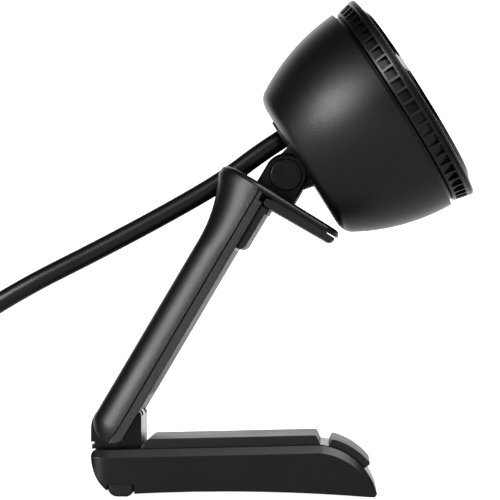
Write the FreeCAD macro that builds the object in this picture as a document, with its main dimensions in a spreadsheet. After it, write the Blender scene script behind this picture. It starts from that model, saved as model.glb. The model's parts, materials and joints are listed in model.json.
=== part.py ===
import FreeCAD, Part
import math
import os
import re
import Sketcher

# Webcam on a folding clip stand, millimetres and degrees.
# Frame: +X is where the webcam faces, +Z is up, the part is symmetric about Y = 0.
# Three local frames are used. "floor" stands under the fold axis, "arm" has its origin on the
# fold axis with Z along the leg, and "head" has its origin on the tilt axis with X along the lens axis.

SIZES = {
    # where the frames stand
    "fold_x": -43.3, "fold_z": 17.6, "leg_lean": 30.6, "head_lift": 32.06,
    "pivot_x": 4.0, "pivot_z": 80.3,
    # head casing
    "back_x": 4.8, "rim_x": 33.2, "rim_radius": 30.0, "back_radius": 18.75, "waist_x": 18.5,
    "waist_radius": 27.35, "corner_x": 6.7, "corner_radius": 22.0, "casing_wall": 1.8, "back_wall": 3.0,
    "seat_radius": 28.6, "seat_depth": 3.0, "post_circle": 23.4, "post_radius": 2.6, "screw_radius": 1.0,
    "neck_half": 4.0, "neck_radius": 5.1, "neck_height": 6.3, "neck_key": 5.0, "neck_bore": 2.05,
    "lead_height": 9.0, "lead_radius": 2.65, "bush_radius": 3.6, "collar_radius": 5.2, "collar_proud": 0.6,
    # light ring and dial
    "web_radius": 9.4, "web_depth": 2.0, "journal_radius": 26.0, "journal_inner": 24.6, "journal_x": 39.4,
    "dial_x": 34.3, "dial_front": 40.1, "dial_radius": 29.4, "dial_rim": 30.5, "dial_bore": 26.05,
    "pocket_count": 54, "pocket_width": 2.7, "led_count": 12, "led_circle": 18.5, "bezel_radius": 12.3,
    # arm
    "arm_width": 34.0, "leg_outer": 7.1, "leg_inner": 2.7, "seam_x": 0.1, "heel_x": -1.9, "heel_z": 0.6,
    "heel_radius": 5.2, "flare_z": 52.7, "flare_x": 11.6, "flare_top": 70.9, "plate_top": 74.9,
    "plate_under": 72.95, "plate_tip": 23.4, "tip_drop": 0.5, "fork_half": 11.3, "fork_radius": 7.7,
    "fold_pin_radius": 1.6, "washer_thick": 0.2, "slot_half": 3.8, "ear_radius": 5.8, "ear_half": 7.0, "ear_gap": 4.4,
    "cap_radius": 4.25, "cap_depth": 0.8, "tilt_pin_radius": 2.0, "nut_radius": 3.3,
    # foot
    "foot_top": 12.42, "foot_slope": 1.4, "heel_back": 6.9, "heel_rim": 3.9, "toe_centre": 51.8,
    "toe_low": 3.2, "toe_radius": 17.0, "foot_bevel": 2.0, "pad_half": 14.9, "pad_height": 2.45,
    "toe_pad_height": 2.0, "block_half": 11.0, "block_radius": 7.2, "block_front": 6.2, "seat_z": 12.2,
    "cover_depth": 1.6, "cover_half": 14.4, "hollow_half": 13.0, "hollow_floor": 4.0,
    "insert_x": 49.0, "insert_bore": 3.175, "insert_radius": 4.2,
    # lead
    "coil_x": -160.0, "coil_mean": 27.35, "coil_half": 10.6, "coil_height": 10.7, "tie_width": 9.0,
    "tie_wall": 0.8, "plug_x": -123.5, "plug_y": -28.6, "plug_z": 3.7, "plug_turn": 27.0,
    "grip_length": 26.0, "grip_width": 12.6, "grip_height": 7.2, "shell_length": 18.7,
    "shell_width": 12.0, "shell_height": 4.5,
}

# The centre line of the lead from the casing to the coil, and from the coil to the plug.
LEAD_ROUTE = [(-5.66, 0, 91.09), (-15.5, 0, 83.6), (-30.5, 0, 74.9), (-49.5, 0, 64.8), (-70.5, 0, 54.3),
              (-88, 2.5, 43.3), (-102, 8, 29.8), (-113, 15.5, 16.6), (-122.5, 23.5, 6.4),
              (-134, 30.8, 2.8), (-149, 35.2, 2.65)]
TAIL_ROUTE = [(-149, -35.2, 2.65), (-136.5, -33.6, 2.7)]

# Screw places: (y, z, hole radius) in the head, (y, z) on the leg and (x, y) under the top plate.
NECK_SCREWS = [(6.6, -5.6, 0.9), (-6.6, -5.6, 0.9), (6.6, 2.6, 0.9), (-6.6, 2.6, 0.9)]
ARM_SCREWS = [(10, 68.5), (-10, 68.5), (14.3, 5), (-14.3, 5)]
BRACKET_SCREWS = [(0, 5.7), (8, 5.7), (0, -5.7), (8, -5.7)]

doc = FreeCAD.newDocument("webcam")
sheet = doc.addObject("Spreadsheet::Sheet", "Sizes")
for row, (alias, size) in enumerate(SIZES.items(), start=1):
    sheet.set(f"A{row}", alias.replace("_", " "))
    sheet.set(f"B{row}", str(size))
    sheet.setAlias(f"B{row}", alias)
doc.recompute()

FRAMES = {
    "floor": {"Base.x": "fold_x", "Base.y": "0", "Base.z": "0", "Rotation.Angle": "0"},
    "arm": {"Base.x": "fold_x", "Base.y": "0", "Base.z": "fold_z", "Rotation.Angle": "leg_lean"},
    "head": {"Base.x": "fold_x + pivot_x * cos(leg_lean) + pivot_z * sin(leg_lean)", "Base.y": "0",
             "Base.z": "fold_z - pivot_x * sin(leg_lean) + pivot_z * cos(leg_lean)",
             "Rotation.Angle": "-head_lift"},
    "world": {"Base.x": "0", "Base.y": "0", "Base.z": "0", "Rotation.Angle": "0"},
    "plug": {"Base.x": "plug_x", "Base.y": "plug_y", "Base.z": "plug_z", "Rotation.Angle": "plug_turn"},
}
NODES = []


def bound(text):
    """Put the sheet's name in front of every alias of an expression."""
    return re.sub(r"[a-z_]+", lambda word: f"Sizes.{word[0]}" if word[0] in SIZES else word[0], str(text))


def value(text):
    """Work out an expression of the sheet."""
    return float(sheet.evalExpression(bound(text)))


def place(item, frame):
    """Put a sub-part in its frame, bound to the sheet."""
    axis = FreeCAD.Vector(0, 0, 1) if frame == "plug" else FreeCAD.Vector(0, 1, 0)
    item.Placement = FreeCAD.Placement(FreeCAD.Vector(), FreeCAD.Rotation(axis, 1))
    for name, text in FRAMES[frame].items():
        item.setExpression(f".Placement.{name}", bound(text))


def body(name, frame):
    """Start a sub-part of the given name."""
    item = doc.addObject("PartDesign::Body", name)
    item.Label = name
    item.AllowCompound = True
    place(item, frame)
    NODES.append(item)
    return item


def sketch(item, plane, offset=0):
    """A sketch on one of the body's own origin planes, moved along its normal by an expression."""
    made = item.newObject("Sketcher::SketchObject", item.Name + "_sketch")
    origin = next(part for part in item.Origin.OriginFeatures if part.Role == plane + "_Plane")
    made.AttachmentSupport = [(origin, "")]
    made.MapMode = "FlatFace"
    if offset:
        made.setExpression(".AttachmentOffset.Base.z", bound(offset))
    return made


def pin_point(made, geometry, end, corner):
    """Hold one end of a sketch line or arc at a corner given by two expressions."""
    for kind, text in zip(("DistanceX", "DistanceY"), corner):
        if abs(value(text)) < 1e-9:
            axis = -2 if kind == "DistanceX" else -1
            made.addConstraint(Sketcher.Constraint("PointOnObject", geometry, end, axis))
            continue
        index = made.addConstraint(Sketcher.Constraint(kind, -1, 1, geometry, end, value(text)))
        if re.search("[a-z]", str(text)):
            made.setExpression(f"Constraints[{index}]", bound(text))


def outline(made, corners):
    """Close an outline. A corner is (x, y), or (via_x, via_y, x, y) for an arc that ends there."""
    ends = [corner[-2:] for corner in corners]
    first = made.GeometryCount
    for number, corner in enumerate(corners):
        begin, end = (FreeCAD.Vector(value(x), value(y), 0) for x, y in (ends[number - 1], ends[number]))
        if len(corner) == 2:
            made.addGeometry(Part.LineSegment(begin, end), False)
        else:
            via = FreeCAD.Vector(value(corner[0]), value(corner[1]), 0)
            made.addGeometry(Part.Arc(begin, via, end), False)
    count = len(corners)
    for number, corner in enumerate(corners):
        this, after = first + number, first + (number + 1) % count
        made.addConstraint(Sketcher.Constraint("Coincident", this, end_of(made, this, ends[number]),
                                               after, start_of(made, after, ends[number])))
        pin_point(made, this, end_of(made, this, ends[number]), ends[number])
        if len(corner) == 4:
            via = FreeCAD.Vector(value(corner[0]), value(corner[1]), 0)
            point = made.addGeometry(Part.Point(via), True)
            pin_point(made, point, 1, corner[:2])
            made.addConstraint(Sketcher.Constraint("PointOnObject", point, 1, this))


def end_of(made, geometry, corner):
    """Which end of a sketch edge lies at a corner: an arc may run the other way round."""
    target = FreeCAD.Vector(value(corner[0]), value(corner[1]), 0)
    return 2 if made.getPoint(geometry, 2).distanceToPoint(target) < 1e-6 else 1


def start_of(made, geometry, corner):
    """The end of the next edge that lies at the same corner."""
    target = FreeCAD.Vector(value(corner[0]), value(corner[1]), 0)
    return 1 if made.getPoint(geometry, 1).distanceToPoint(target) < 1e-6 else 2


def box_outline(made, x_low, x_high, y_low, y_high):
    """A rectangle between four expressions."""
    outline(made, [(x_low, y_low), (x_high, y_low), (x_high, y_high), (x_low, y_high)])


def circle(made, x, y, radius):
    """A circle with its centre and radius bound to the sheet."""
    centre = FreeCAD.Vector(value(x), value(y), 0)
    index = made.addGeometry(Part.Circle(centre, FreeCAD.Vector(0, 0, 1), value(radius)), False)
    size = made.addConstraint(Sketcher.Constraint("Radius", index, value(radius)))
    if re.search("[a-z]", str(radius)):
        made.setExpression(f"Constraints[{size}]", bound(radius))
    pin_point(made, index, 3, (x, y))


def feature(item, kind, profile, length=None, both=False, back=False):
    """Add a pad, pocket, revolution or groove made from a sketch."""
    made = item.newObject("PartDesign::" + kind, f"{item.Name}_{kind.lower()}")
    made.Profile = (profile, [""])
    if kind in ("Pad", "Pocket"):
        made.setExpression("Length", bound(length))
        if both:
            made.Midplane = True
        made.Reversed = back
    else:
        made.ReferenceAxis = (profile, ["H_Axis"])
        made.Angle = 360
    doc.recompute()
    return made


def turned(name, frame, corners):
    """A sub-part turned about its frame's X axis from an outline of (x, radius) corners."""
    item = body(name, frame)
    profile = sketch(item, "XZ")
    outline(profile, corners)
    feature(item, "Revolution", profile)
    return item


def extruded(name, frame, corners, width):
    """A sub-part with one XZ outline, as wide as given, centred on Y = 0."""
    item = body(name, frame)
    profile = sketch(item, "XZ")
    outline(profile, corners)
    feature(item, "Pad", profile, width, both=True)
    return item


def slab(name, frame, x, z, width):
    """A rectangular block: x and z are (low, high) expressions, centred on Y = 0."""
    return extruded(name, frame, [(x[0], z[0]), (x[1], z[0]), (x[1], z[1]), (x[0], z[1])], width)


def cut_outline(item, corners, width):
    """Cut an XZ outline through a body, as wide as given, centred on Y = 0."""
    profile = sketch(item, "XZ")
    outline(profile, corners)
    return feature(item, "Pocket", profile, width, both=True)


def cut_box(item, x, z, width):
    """Cut a rectangular opening centred on Y = 0."""
    cut_outline(item, [(x[0], z[0]), (x[1], z[0]), (x[1], z[1]), (x[0], z[1])], width)


def cut_round(item, plane, offset, depth, holes, both=False, back=False):
    """Cut round holes, given as (x, y, radius) on a plane of the body, to a depth."""
    profile = sketch(item, plane, offset)
    for hole in holes:
        circle(profile, *hole)
    return feature(item, "Pocket", profile, depth, both=both, back=back)


def add_round(item, plane, offset, height, discs, back=False):
    """Add round bosses, given as (x, y, radius) on a plane of the body."""
    profile = sketch(item, plane, offset)
    for disc in discs:
        circle(profile, *disc)
    return feature(item, "Pad", profile, height, back=back)


def pattern(item, source, count):
    """Repeat a feature round the body's X axis."""
    made = item.newObject("PartDesign::PolarPattern", item.Name + "_pattern")
    made.Originals = [source]
    axis = next(part for part in item.Origin.OriginFeatures if part.Role == "X_Axis")
    made.Axis = (axis, [""])
    made.Angle = 360
    made.setExpression("Occurrences", bound(count))
    item.Tip = made
    doc.recompute()
    return made


def edge_finish(item, kind, size, wanted):
    """Fillet or chamfer the edges of the body's last feature that a test picks."""
    base = item.Tip
    picked = [f"Edge{number}" for number, edge in enumerate(base.Shape.Edges, 1) if wanted(edge)]
    made = item.newObject("PartDesign::" + kind, f"{item.Name}_{kind.lower()}")
    made.Base = (base, picked)
    made.setExpression("Radius" if kind == "Fillet" else "Size", bound(size))
    doc.recompute()
    return made


def group(name, frame, solids):
    """A sub-part of several Part primitives, joined in one compound."""
    item = doc.addObject("Part::Compound", name)
    item.Label = name
    item.Links = solids
    place(item, frame)
    NODES.append(item)
    return item


def rod(start, direction, radius, length):
    """A cylinder from a start point along a direction, bound to the sheet."""
    made = doc.addObject("Part::Cylinder", "rod")
    turn = FreeCAD.Rotation(FreeCAD.Vector(0, 0, 1), FreeCAD.Vector(*direction))
    made.Placement = FreeCAD.Placement(FreeCAD.Vector(), turn)
    for axis, text in zip("xyz", start):
        made.setExpression(f".Placement.Base.{axis}", bound(text))
    made.setExpression("Radius", bound(radius))
    made.setExpression("Height", bound(length))
    return made


def block(corner, size):
    """A box with its low corner and its size bound to the sheet."""
    made = doc.addObject("Part::Box", "block")
    for axis, text in zip("xyz", corner):
        made.setExpression(f".Placement.Base.{axis}", bound(text))
    for name, text in zip(("Length", "Width", "Height"), size):
        made.setExpression(name, bound(text))
    return made


def joined(parts):
    """One solid from several touching primitives."""
    made = doc.addObject("Part::MultiFuse", "joined")
    made.Shapes = parts
    return made


def screw(start, direction, shank, head, grip, head_height):
    """A pan-head screw: its head starts at the start point, its shank runs along the direction."""
    head_rod = rod(start, direction, head, head_height)
    return joined([head_rod, rod(start, direction, shank, f"{grip} + {head_height}")])


def quarter_points(circle_radius):
    """Four points at 45 degrees on a circle, as pairs of expressions."""
    half = f"{circle_radius} * sqrt(2) / 2"
    return [(half, half), (half, f"-({half})"), (f"-({half})", half), (f"-({half})", f"-({half})")]


def on_side(edge, half):
    """Whether an edge lies in one of the two outer side planes."""
    box = edge.BoundBox
    return abs(abs(box.YMin) - half) < 0.01 and box.YLength < 0.01


# ---- head casing ----

def make_head_casing():
    """The bowl, the tongue it tilts on, the collar of the lead and their screws."""
    shell = turned("rear_shell", "head", [
        ("back_x", 0), ("back_x", "back_radius"),
        ("back_x + 0.65", "corner_radius - 1.25", "corner_x", "corner_radius"),
        ("waist_x", "waist_radius", "rim_x", "rim_radius"),
        ("rim_x", "seat_radius"), ("rim_x - seat_depth", "seat_radius"),
        ("rim_x - seat_depth", "rim_radius - casing_wall - 0.3"),
        ("waist_x", "waist_radius - casing_wall", "back_x + back_wall", "back_radius + 0.5"),
        ("back_x + back_wall", 0)])
    posts = quarter_points("post_circle")
    add_round(shell, "YZ", "waist_x - 4", "rim_x - seat_depth - waist_x + 4",
              [(y, z, "post_radius") for y, z in posts])
    cut_round(shell, "YZ", "waist_x - 2", 20, [(y, z, "screw_radius") for y, z in posts], back=True)
    cut_box(shell, ("back_x - 1", "back_x + back_wall + 1"), ("-neck_key", "neck_key"), "2 * neck_half")
    cut_box(shell, ("back_x - 1", "back_x + 1.5"), (-4.4, 4.4), "2 * ear_half + 1.2")
    cut_round(shell, "YZ", "back_x - 1", 6, [(0, "lead_height", "bush_radius")], back=True)
    cut_round(shell, "YZ", "back_x + back_wall - 1.8", 4, NECK_SCREWS, back=True)

    tangent = "acos(neck_radius / sqrt(back_x ^ 2 + neck_height ^ 2)) + atan2(neck_height; back_x)"
    touch = (f"neck_radius * cos({tangent})", f"neck_radius * sin({tangent})")
    neck = extruded("tilt_neck", "head", [
        ("back_x", "-neck_height"), ("back_x", "-neck_key"), ("back_x + back_wall", "-neck_key"),
        ("back_x + back_wall", "neck_key"), ("back_x", "neck_key"), ("back_x", "neck_height"), touch,
        ("-neck_radius", 0, touch[0], f"-({touch[1]})")], "2 * neck_half")
    flange = sketch(neck, "YZ", "back_x + back_wall")
    box_outline(flange, -9, 9, -8, "neck_key")
    feature(neck, "Pad", flange, 1.6)
    cut_round(neck, "XZ", 0, 20, [(0, 0, "neck_bore")], both=True)
    cut_round(neck, "YZ", "back_x + back_wall - 1", 4, NECK_SCREWS, back=True)
    group("neck_screws", "head", [
        screw(("back_x + back_wall + 2.7", y, z), (-1, 0, 0), 0.9, 1.6, 2.6, 1.1)
        for y, z, _ in NECK_SCREWS])

    collar = turned("cord_grommet", "world", [
        ("back_x - collar_proud", "lead_radius"), ("back_x - collar_proud", "collar_radius - 0.3"),
        ("back_x - collar_proud + 0.3", "collar_radius"), ("back_x", "collar_radius"),
        ("back_x", "bush_radius"), ("back_x + back_wall", "bush_radius"),
        ("back_x + back_wall", "bush_radius + 0.3"), ("back_x + back_wall + 1", "bush_radius + 0.3"),
        ("back_x + back_wall + 1", "lead_radius")])
    cut_box(collar, ("back_x - 2", "back_x"), (-9, "neck_height + 0.15 - lead_height"), 12)
    raise_in_head(collar)
    stub = turned("cord_stub", "world", [
        ("back_x - collar_proud", 0), ("back_x - collar_proud", "lead_radius"),
        ("back_x + back_wall + 2", "lead_radius"), ("back_x + back_wall + 2", 0)])
    raise_in_head(stub)


def raise_in_head(item):
    """Move a piece turned about the lead's own axis up to that axis in the head."""
    place(item, "head")
    item.setExpression(".Placement.Base.x", bound(FRAMES["head"]["Base.x"] + " - lead_height * sin(head_lift)"))
    item.setExpression(".Placement.Base.z", bound(FRAMES["head"]["Base.z"] + " + lead_height * cos(head_lift)"))


# ---- boards and sensor ----

def make_electronics():
    """Main board, heat sink, sensor board and what stands on them."""
    main_board = turned("main_board", "head", [(14, 0), (14, 19.8), (15.6, 19.8), (15.6, 0)])
    cut_round(main_board, "YZ", 13, 4, [(y, z, 1.0) for y, z in quarter_points(12.4)], back=True)
    group("board_chips", "head", [
        block((15.6, -15.5, -4), (1.2, 6, 8)), block((15.6, 10.5, -3), (1.0, 5, 6)),
        block((15.6, -4, 13), (0.9, 8, 3)), block((15.6, -3, -17), (1.4, 6, 3)),
        block((13.1, -12, -9), (0.9, 5, 5)), block((12.8, 8, -12), (1.2, 4, 6))])
    group("cord_connector", "head", [block((10.8, -4.5, 11.6), (3.2, 9, 4.6))])
    sink = slab("heat_sink", "head", ("waist_x - 2.9", "waist_x + 2.5"), (-7, 7), 14)
    fins = sketch(sink, "XY", -8)
    for low in (-5.6, -2.8, 0, 2.8):
        box_outline(fins, "waist_x - 1.4", "waist_x + 3.5", low, low + 1.6)
    feature(sink, "Pocket", fins, 16, back=True)
    sensor_board = slab("sensor_board", "head", (24, 25.2), (-11, 11), 22)
    edge_finish(sensor_board, "Fillet", 2, lambda edge: edge.BoundBox.XLength > 1.1)
    group("image_sensor", "head", [block((25.2, -4, -4), (1, 8, 8))])
    group("ir_filter", "head", [block((26.6, -3.6, -3.6), (0.4, 7.2, 7.2))])
    group("standoffs", "head", [rod((15.6, y, z), (1, 0, 0), 1.5, 8.4) for y, z in quarter_points(12.4)]
          + [rod((25.2, y, z), (1, 0, 0), 1.5, 5) for y, z in quarter_points(12.4)])


def make_focus():
    """The fixed half of the voice coil, and the lens barrel that slides in it."""
    turned("focus_housing", "head", [
        (25.2, 5.8), (25.2, 9.2), (34, 9.2), (34, 6.3), (33.4, 6.3), (33.4, 8.5), (27.6, 8.5), (27.6, 4.4),
        (27, 4.4), (27, 5.8)])
    magnets = turned("focus_magnets", "head", [(29.3, 7.3), (29.3, 8.5), (32.2, 8.5), (32.2, 7.3)])
    for plane in ("XZ", "XY"):
        gap = sketch(magnets, plane)
        box_outline(gap, 28, 34, -1.2, 1.2)
        feature(magnets, "Pocket", gap, 20, both=True)
    turned("lens_barrel", "head", [
        (28, 3.6), (28, 5.9), (36.2, 5.9), (36.2, 5.3), (35.8, 4.9), (31.2, 4.9), (31.2, 3.6)])
    turned("lens_elements", "head", [(28.2, 0), (28.6, 3.6), (30.4, 3.6), (30.9, 0)])
    lenses = NODES[-1]
    for near, edge_near, edge_far, far in ((31.4, 31.9, 32.4, 32.9), (33.3, 33.9, 34.7, 35.5)):
        profile = sketch(lenses, "XZ")
        outline(profile, [(near, 0), (edge_near, 4.9), (edge_far, 4.9), (far, 0)])
        feature(lenses, "Revolution", profile)
    turned("focus_coil", "head", [(29.6, 5.9), (29.6, 6.8), (32, 6.8), (32, 5.9)])


# ---- light ring and dial ----

def make_front():
    """The frame that carries the light ring, the lens bezel and the turning dial."""
    frame = turned("mid_frame", "head", [
        ("rim_x - seat_depth", "web_radius"), ("rim_x - seat_depth + web_depth", "web_radius"),
        ("rim_x - seat_depth + web_depth", "journal_inner"), ("journal_x", "journal_inner"),
        ("journal_x", "journal_radius"), ("dial_x - 0.3", "journal_radius"),
        ("dial_x - 0.3", "seat_radius"), ("rim_x - seat_depth", "seat_radius")])
    posts = quarter_points("post_circle")
    face = "rim_x - seat_depth + web_depth"
    cut_round(frame, "YZ", "rim_x - seat_depth - 1", 4, [(y, z, "screw_radius") for y, z in posts], back=True)
    cut_round(frame, "YZ", face, 1, [(y, z, 1.9) for y, z in posts])
    group("case_screws", "head", [
        screw((face, y, z), (-1, 0, 0), "screw_radius", 1.9, 9, 1) for y, z in posts])
    turned("led_board", "head", [(face, "bezel_radius + 0.2"), (face, "journal_inner - 0.1"),
                                 (f"{face} + 1", "journal_inner - 0.1"), (f"{face} + 1", "bezel_radius + 0.2")])
    lamps = body("ring_leds", "head")
    lamp = sketch(lamps, "YZ", f"{face} + 1")
    box_outline(lamp, -1.4, 1.4, "led_circle - 1.4", "led_circle + 1.4")
    pattern(lamps, feature(lamps, "Pad", lamp, 0.8), "led_count")
    cone = turned("light_reflector", "head", [
        (33.2, "bezel_radius + 0.3"), (33.2, "journal_inner - 0.2"), (37.5, "journal_inner - 0.2"),
        (37.5, "journal_inner - 0.9"), (33.8, "journal_inner - 2.4"), (33.8, "bezel_radius + 2.4"),
        (37.5, "bezel_radius + 0.9"), (37.5, "bezel_radius + 0.3")])
    window = sketch(cone, "YZ", 33)
    box_outline(window, -1.6, 1.6, "led_circle - 1.6", "led_circle + 1.6")
    pattern(cone, feature(cone, "Pocket", window, 1.4, back=True), "led_count")
    turned("light_diffuser", "head", [
        (37.5, "bezel_radius + 0.1"), (37.5, "journal_inner - 0.1"), (39.1, "journal_inner - 0.1"),
        (39.6, "led_circle", 39.1, "bezel_radius + 0.1")])
    turned("lens_bezel", "head", [
        (face, 11.2), ("dial_x - 0.1", 11.2), ("dial_x - 0.1", 9.4), (38.8, 9.4), (38.8, 10.6), (40, 10.6),
        (40, 11.7), (39.4, "bezel_radius"), (face, "bezel_radius")])
    turned("lens_window", "head", [(38.8, 0), (38.8, 10.55), (39.6, 10.55), (39.6, 0)])
    group("microphones", "head", [block((32.2, low, -1.1), (0.9, 1.3, 2.2)) for low in (9.6, -10.9)])
    turned("front_trim_ring", "head", [
        ("journal_x", "journal_inner - 1.2"), ("journal_x", 27.2), ("journal_x + 0.6", 27.2),
        ("journal_x + 0.9", 26.9), ("journal_x + 0.9", "journal_inner - 0.8"),
        ("journal_x + 0.5", "journal_inner - 1.2")])
    dial = turned("dial_ring", "head", [
        ("dial_x", "dial_bore"), ("journal_x - 0.3", "dial_bore"), ("journal_x - 0.3", 27.5),
        ("dial_front", 27.5), ("dial_front", "dial_rim - 1"), ("dial_front - 0.6", "dial_rim"),
        ("dial_front - 1.6", "dial_rim"), ("dial_x", "dial_radius"), ("dial_x", 28.1),
        ("dial_x + 0.9", 28.1), ("dial_x + 0.9", 26.9), ("dial_x", 26.9)])
    notch = sketch(dial, "XZ")
    outline(notch, [("dial_x + 0.3", "dial_radius - 0.7"), ("dial_front - 1.7", "dial_rim - 0.9"),
                    ("dial_front - 1.7", "dial_rim + 1"), ("dial_x + 0.3", "dial_rim + 1")])
    pattern(dial, feature(dial, "Pocket", notch, "pocket_width", both=True), "pocket_count")
    turned("dial_magnet", "head", [
        ("dial_x", 26.9), ("dial_x + 0.9", 26.9), ("dial_x + 0.9", 28.1), ("dial_x", 28.1)])


# ---- arm ----

def heel_arc(x):
    """Height at which the rounded lower end of the arm passes a place across the leg."""
    return f"heel_z - sqrt(heel_radius ^ 2 - ({x} - heel_x) ^ 2)"


def make_arm():
    """Outer and inner halves of the leg, with the top plate and its rubber pads."""
    shell = extruded("arm_shell", "arm", [
        ("seam_x", "plate_under"), ("seam_x", heel_arc("seam_x")),
        ("heel_x - heel_radius * sqrt(2) / 2", "heel_z - heel_radius * sqrt(2) / 2", "-leg_outer", "heel_z"),
        ("-leg_outer", "flare_z"),
        ("-leg_outer - 1.2", "flare_z + 9.3", "-flare_x", "flare_top"),
        ("-flare_x + 0.1", "flare_top + 2.4", "-flare_x + 1.8", "plate_top - 0.4"),
        (-1.1, "plate_top"), ("plate_tip", "plate_top - tip_drop"),
        ("plate_tip + 0.9", "plate_top - tip_drop - 0.7", "plate_tip + 0.2", "plate_top - tip_drop - 1.4"),
        ("leg_inner", "plate_under")], "arm_width")
    edge_finish(shell, "Fillet", 2.5, lambda edge: on_side(edge, SIZES["arm_width"] / 2)
                and edge.BoundBox.XMax < -1.0 and edge.BoundBox.ZMin < 60 and edge.BoundBox.ZMax < 72)
    cut_box(shell, (-5.1, "seam_x + 1"), (11, 66), 29)
    cut_round(shell, "XZ", 0, "2 * fork_half", [(0, 0, "fork_radius")], both=True)
    cut_round(shell, "XZ", 0, 29, [(0, 0, "fold_pin_radius")], both=True)
    cut_outline(shell, [(-9.4, 62), (-2.6, 75.2), (-2.6, 78), (-16, 78), (-16, 62)], "2 * slot_half")
    cut_box(shell, ("pivot_x - ear_radius", "pivot_x + ear_radius"), ("plate_top - 1.2", 78), "2 * ear_half")
    cut_round(shell, "XY", "plate_under - 1", 3, [(x, y, 0.8) for x, y in BRACKET_SCREWS], back=True)
    cut_round(shell, "XY", "plate_under - 1", 1.6, [(x, y, 1.5) for x, y in BRACKET_SCREWS], back=True)
    cut_round(shell, "YZ", -3.5, 6, [(y, z, 0.9) for y, z in ARM_SCREWS], back=True)

    cover = extruded("arm_cover", "arm", [
        ("seam_x", "plate_under"), ("leg_inner - 1.2", "plate_under"), ("leg_inner - 1.2", "plate_under - 2.2"),
        ("leg_inner", "plate_under - 2.2"), ("leg_inner", heel_arc("leg_inner")),
        (1.6, heel_arc(1.6), "seam_x", heel_arc("seam_x"))], "arm_width")
    cut_box(cover, ("leg_inner - 0.7", "leg_inner + 1"), (12, 56), 31)
    cut_round(cover, "XZ", 0, "2 * fork_half", [(0, 0, "fork_radius")], both=True)
    cut_round(cover, "XZ", 0, 29, [(0, 0, "fold_pin_radius")], both=True)
    cut_round(cover, "YZ", -1, 6, [(y, z, 0.9) for y, z in ARM_SCREWS], back=True)
    cut_round(cover, "YZ", "leg_inner - 1", 3, [(y, z, 1.7) for y, z in ARM_SCREWS], back=True)
    group("arm_screws", "arm", [
        screw(("leg_inner", y, z), (-1, 0, 0), 0.9, 1.7, 4, 1) for y, z in ARM_SCREWS])

    slab("arm_pad", "arm", ("leg_inner - 0.7", "leg_inner"), (12, 56), 31)
    extruded("corner_pad", "arm", [
        ("leg_inner", 57), ("leg_inner + 1.7", 57.6, "leg_inner + 2", 59.4), ("leg_inner + 2.1", 69.9),
        ("leg_inner", 69.9)], 32.4)
    extruded("plate_pad", "arm", [
        (3.4, 70.2), (23, 70.4), (23.7, 72.3), (21, 72.4), (21, "plate_under"), (4.4, "plate_under"),
        (4.4, 72.4), (3, 72.3)], 33)


def make_tilt_hinge():
    """The two ears, their pin, nut, washers and caps."""
    bracket = extruded("hinge_bracket", "arm", [
        ("pivot_x - ear_radius", "plate_top - 1.2"), ("pivot_x + ear_radius", "plate_top - 1.2"),
        ("pivot_x + ear_radius", "pivot_z"), ("pivot_x", "pivot_z + ear_radius", "pivot_x - ear_radius", "pivot_z"),
    ], "2 * ear_half")
    edge_finish(bracket, "Chamfer", 0.45, lambda edge: on_side(edge, SIZES["ear_half"])
                and edge.BoundBox.ZMax > 76)
    cut_box(bracket, ("pivot_x - 9", "pivot_x + 9"), ("plate_top - 0.3", 90), "2 * ear_gap")
    cut_round(bracket, "XZ", 0, 20, [("pivot_x", "pivot_z", "tilt_pin_radius")], both=True)
    for side in (1, -1):
        face = f"{side} * (ear_half - cap_depth)"
        cut_round(bracket, "XZ", face, 4, [("pivot_x", "pivot_z", "cap_radius + 0.1")], back=side > 0)
        face = f"{side} * (ear_half - 2 * cap_depth)"
        cut_round(bracket, "XZ", face, 4, [("pivot_x", "pivot_z", "nut_radius")], back=side > 0)
    cut_round(bracket, "XY", "plate_under - 1", 5, [(x, y, 0.8) for x, y in BRACKET_SCREWS], back=True)
    group("bracket_screws", "arm", [
        screw((x, y, "plate_under"), (0, 0, 1), 0.8, 1.5, 3.2, 0.6) for x, y in BRACKET_SCREWS])

    start = ("pivot_x", "ear_half - cap_depth", "pivot_z")
    group("tilt_pin", "arm", [screw(start, (0, -1, 0), "tilt_pin_radius", "nut_radius", 11.6, "cap_depth")])
    ring = doc.addObject("Part::Cut", "ring")
    low = ("pivot_x", "-(ear_half - cap_depth)", "pivot_z")
    ring.Base = rod(low, (0, 1, 0), "nut_radius", "cap_depth")
    ring.Tool = rod(low, (0, 1, 0), "tilt_pin_radius", "cap_depth")
    group("tilt_nut", "arm", [ring])
    washers = []
    for side in (1, -1):
        start = ("pivot_x", f"{side} * (neck_half + 0.05)", "pivot_z")
        washer = doc.addObject("Part::Cut", "washer")
        washer.Base = rod(start, (0, side, 0), 3.8, 0.35)
        washer.Tool = rod(start, (0, side, 0), "tilt_pin_radius", 0.35)
        washers.append(washer)
    group("tilt_washers", "arm", washers)
    group("hinge_caps", "arm", [
        rod(("pivot_x", f"{side} * (ear_half - cap_depth)", "pivot_z"), (0, side, 0), "cap_radius", "cap_depth")
        for side in (1, -1)])


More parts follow.
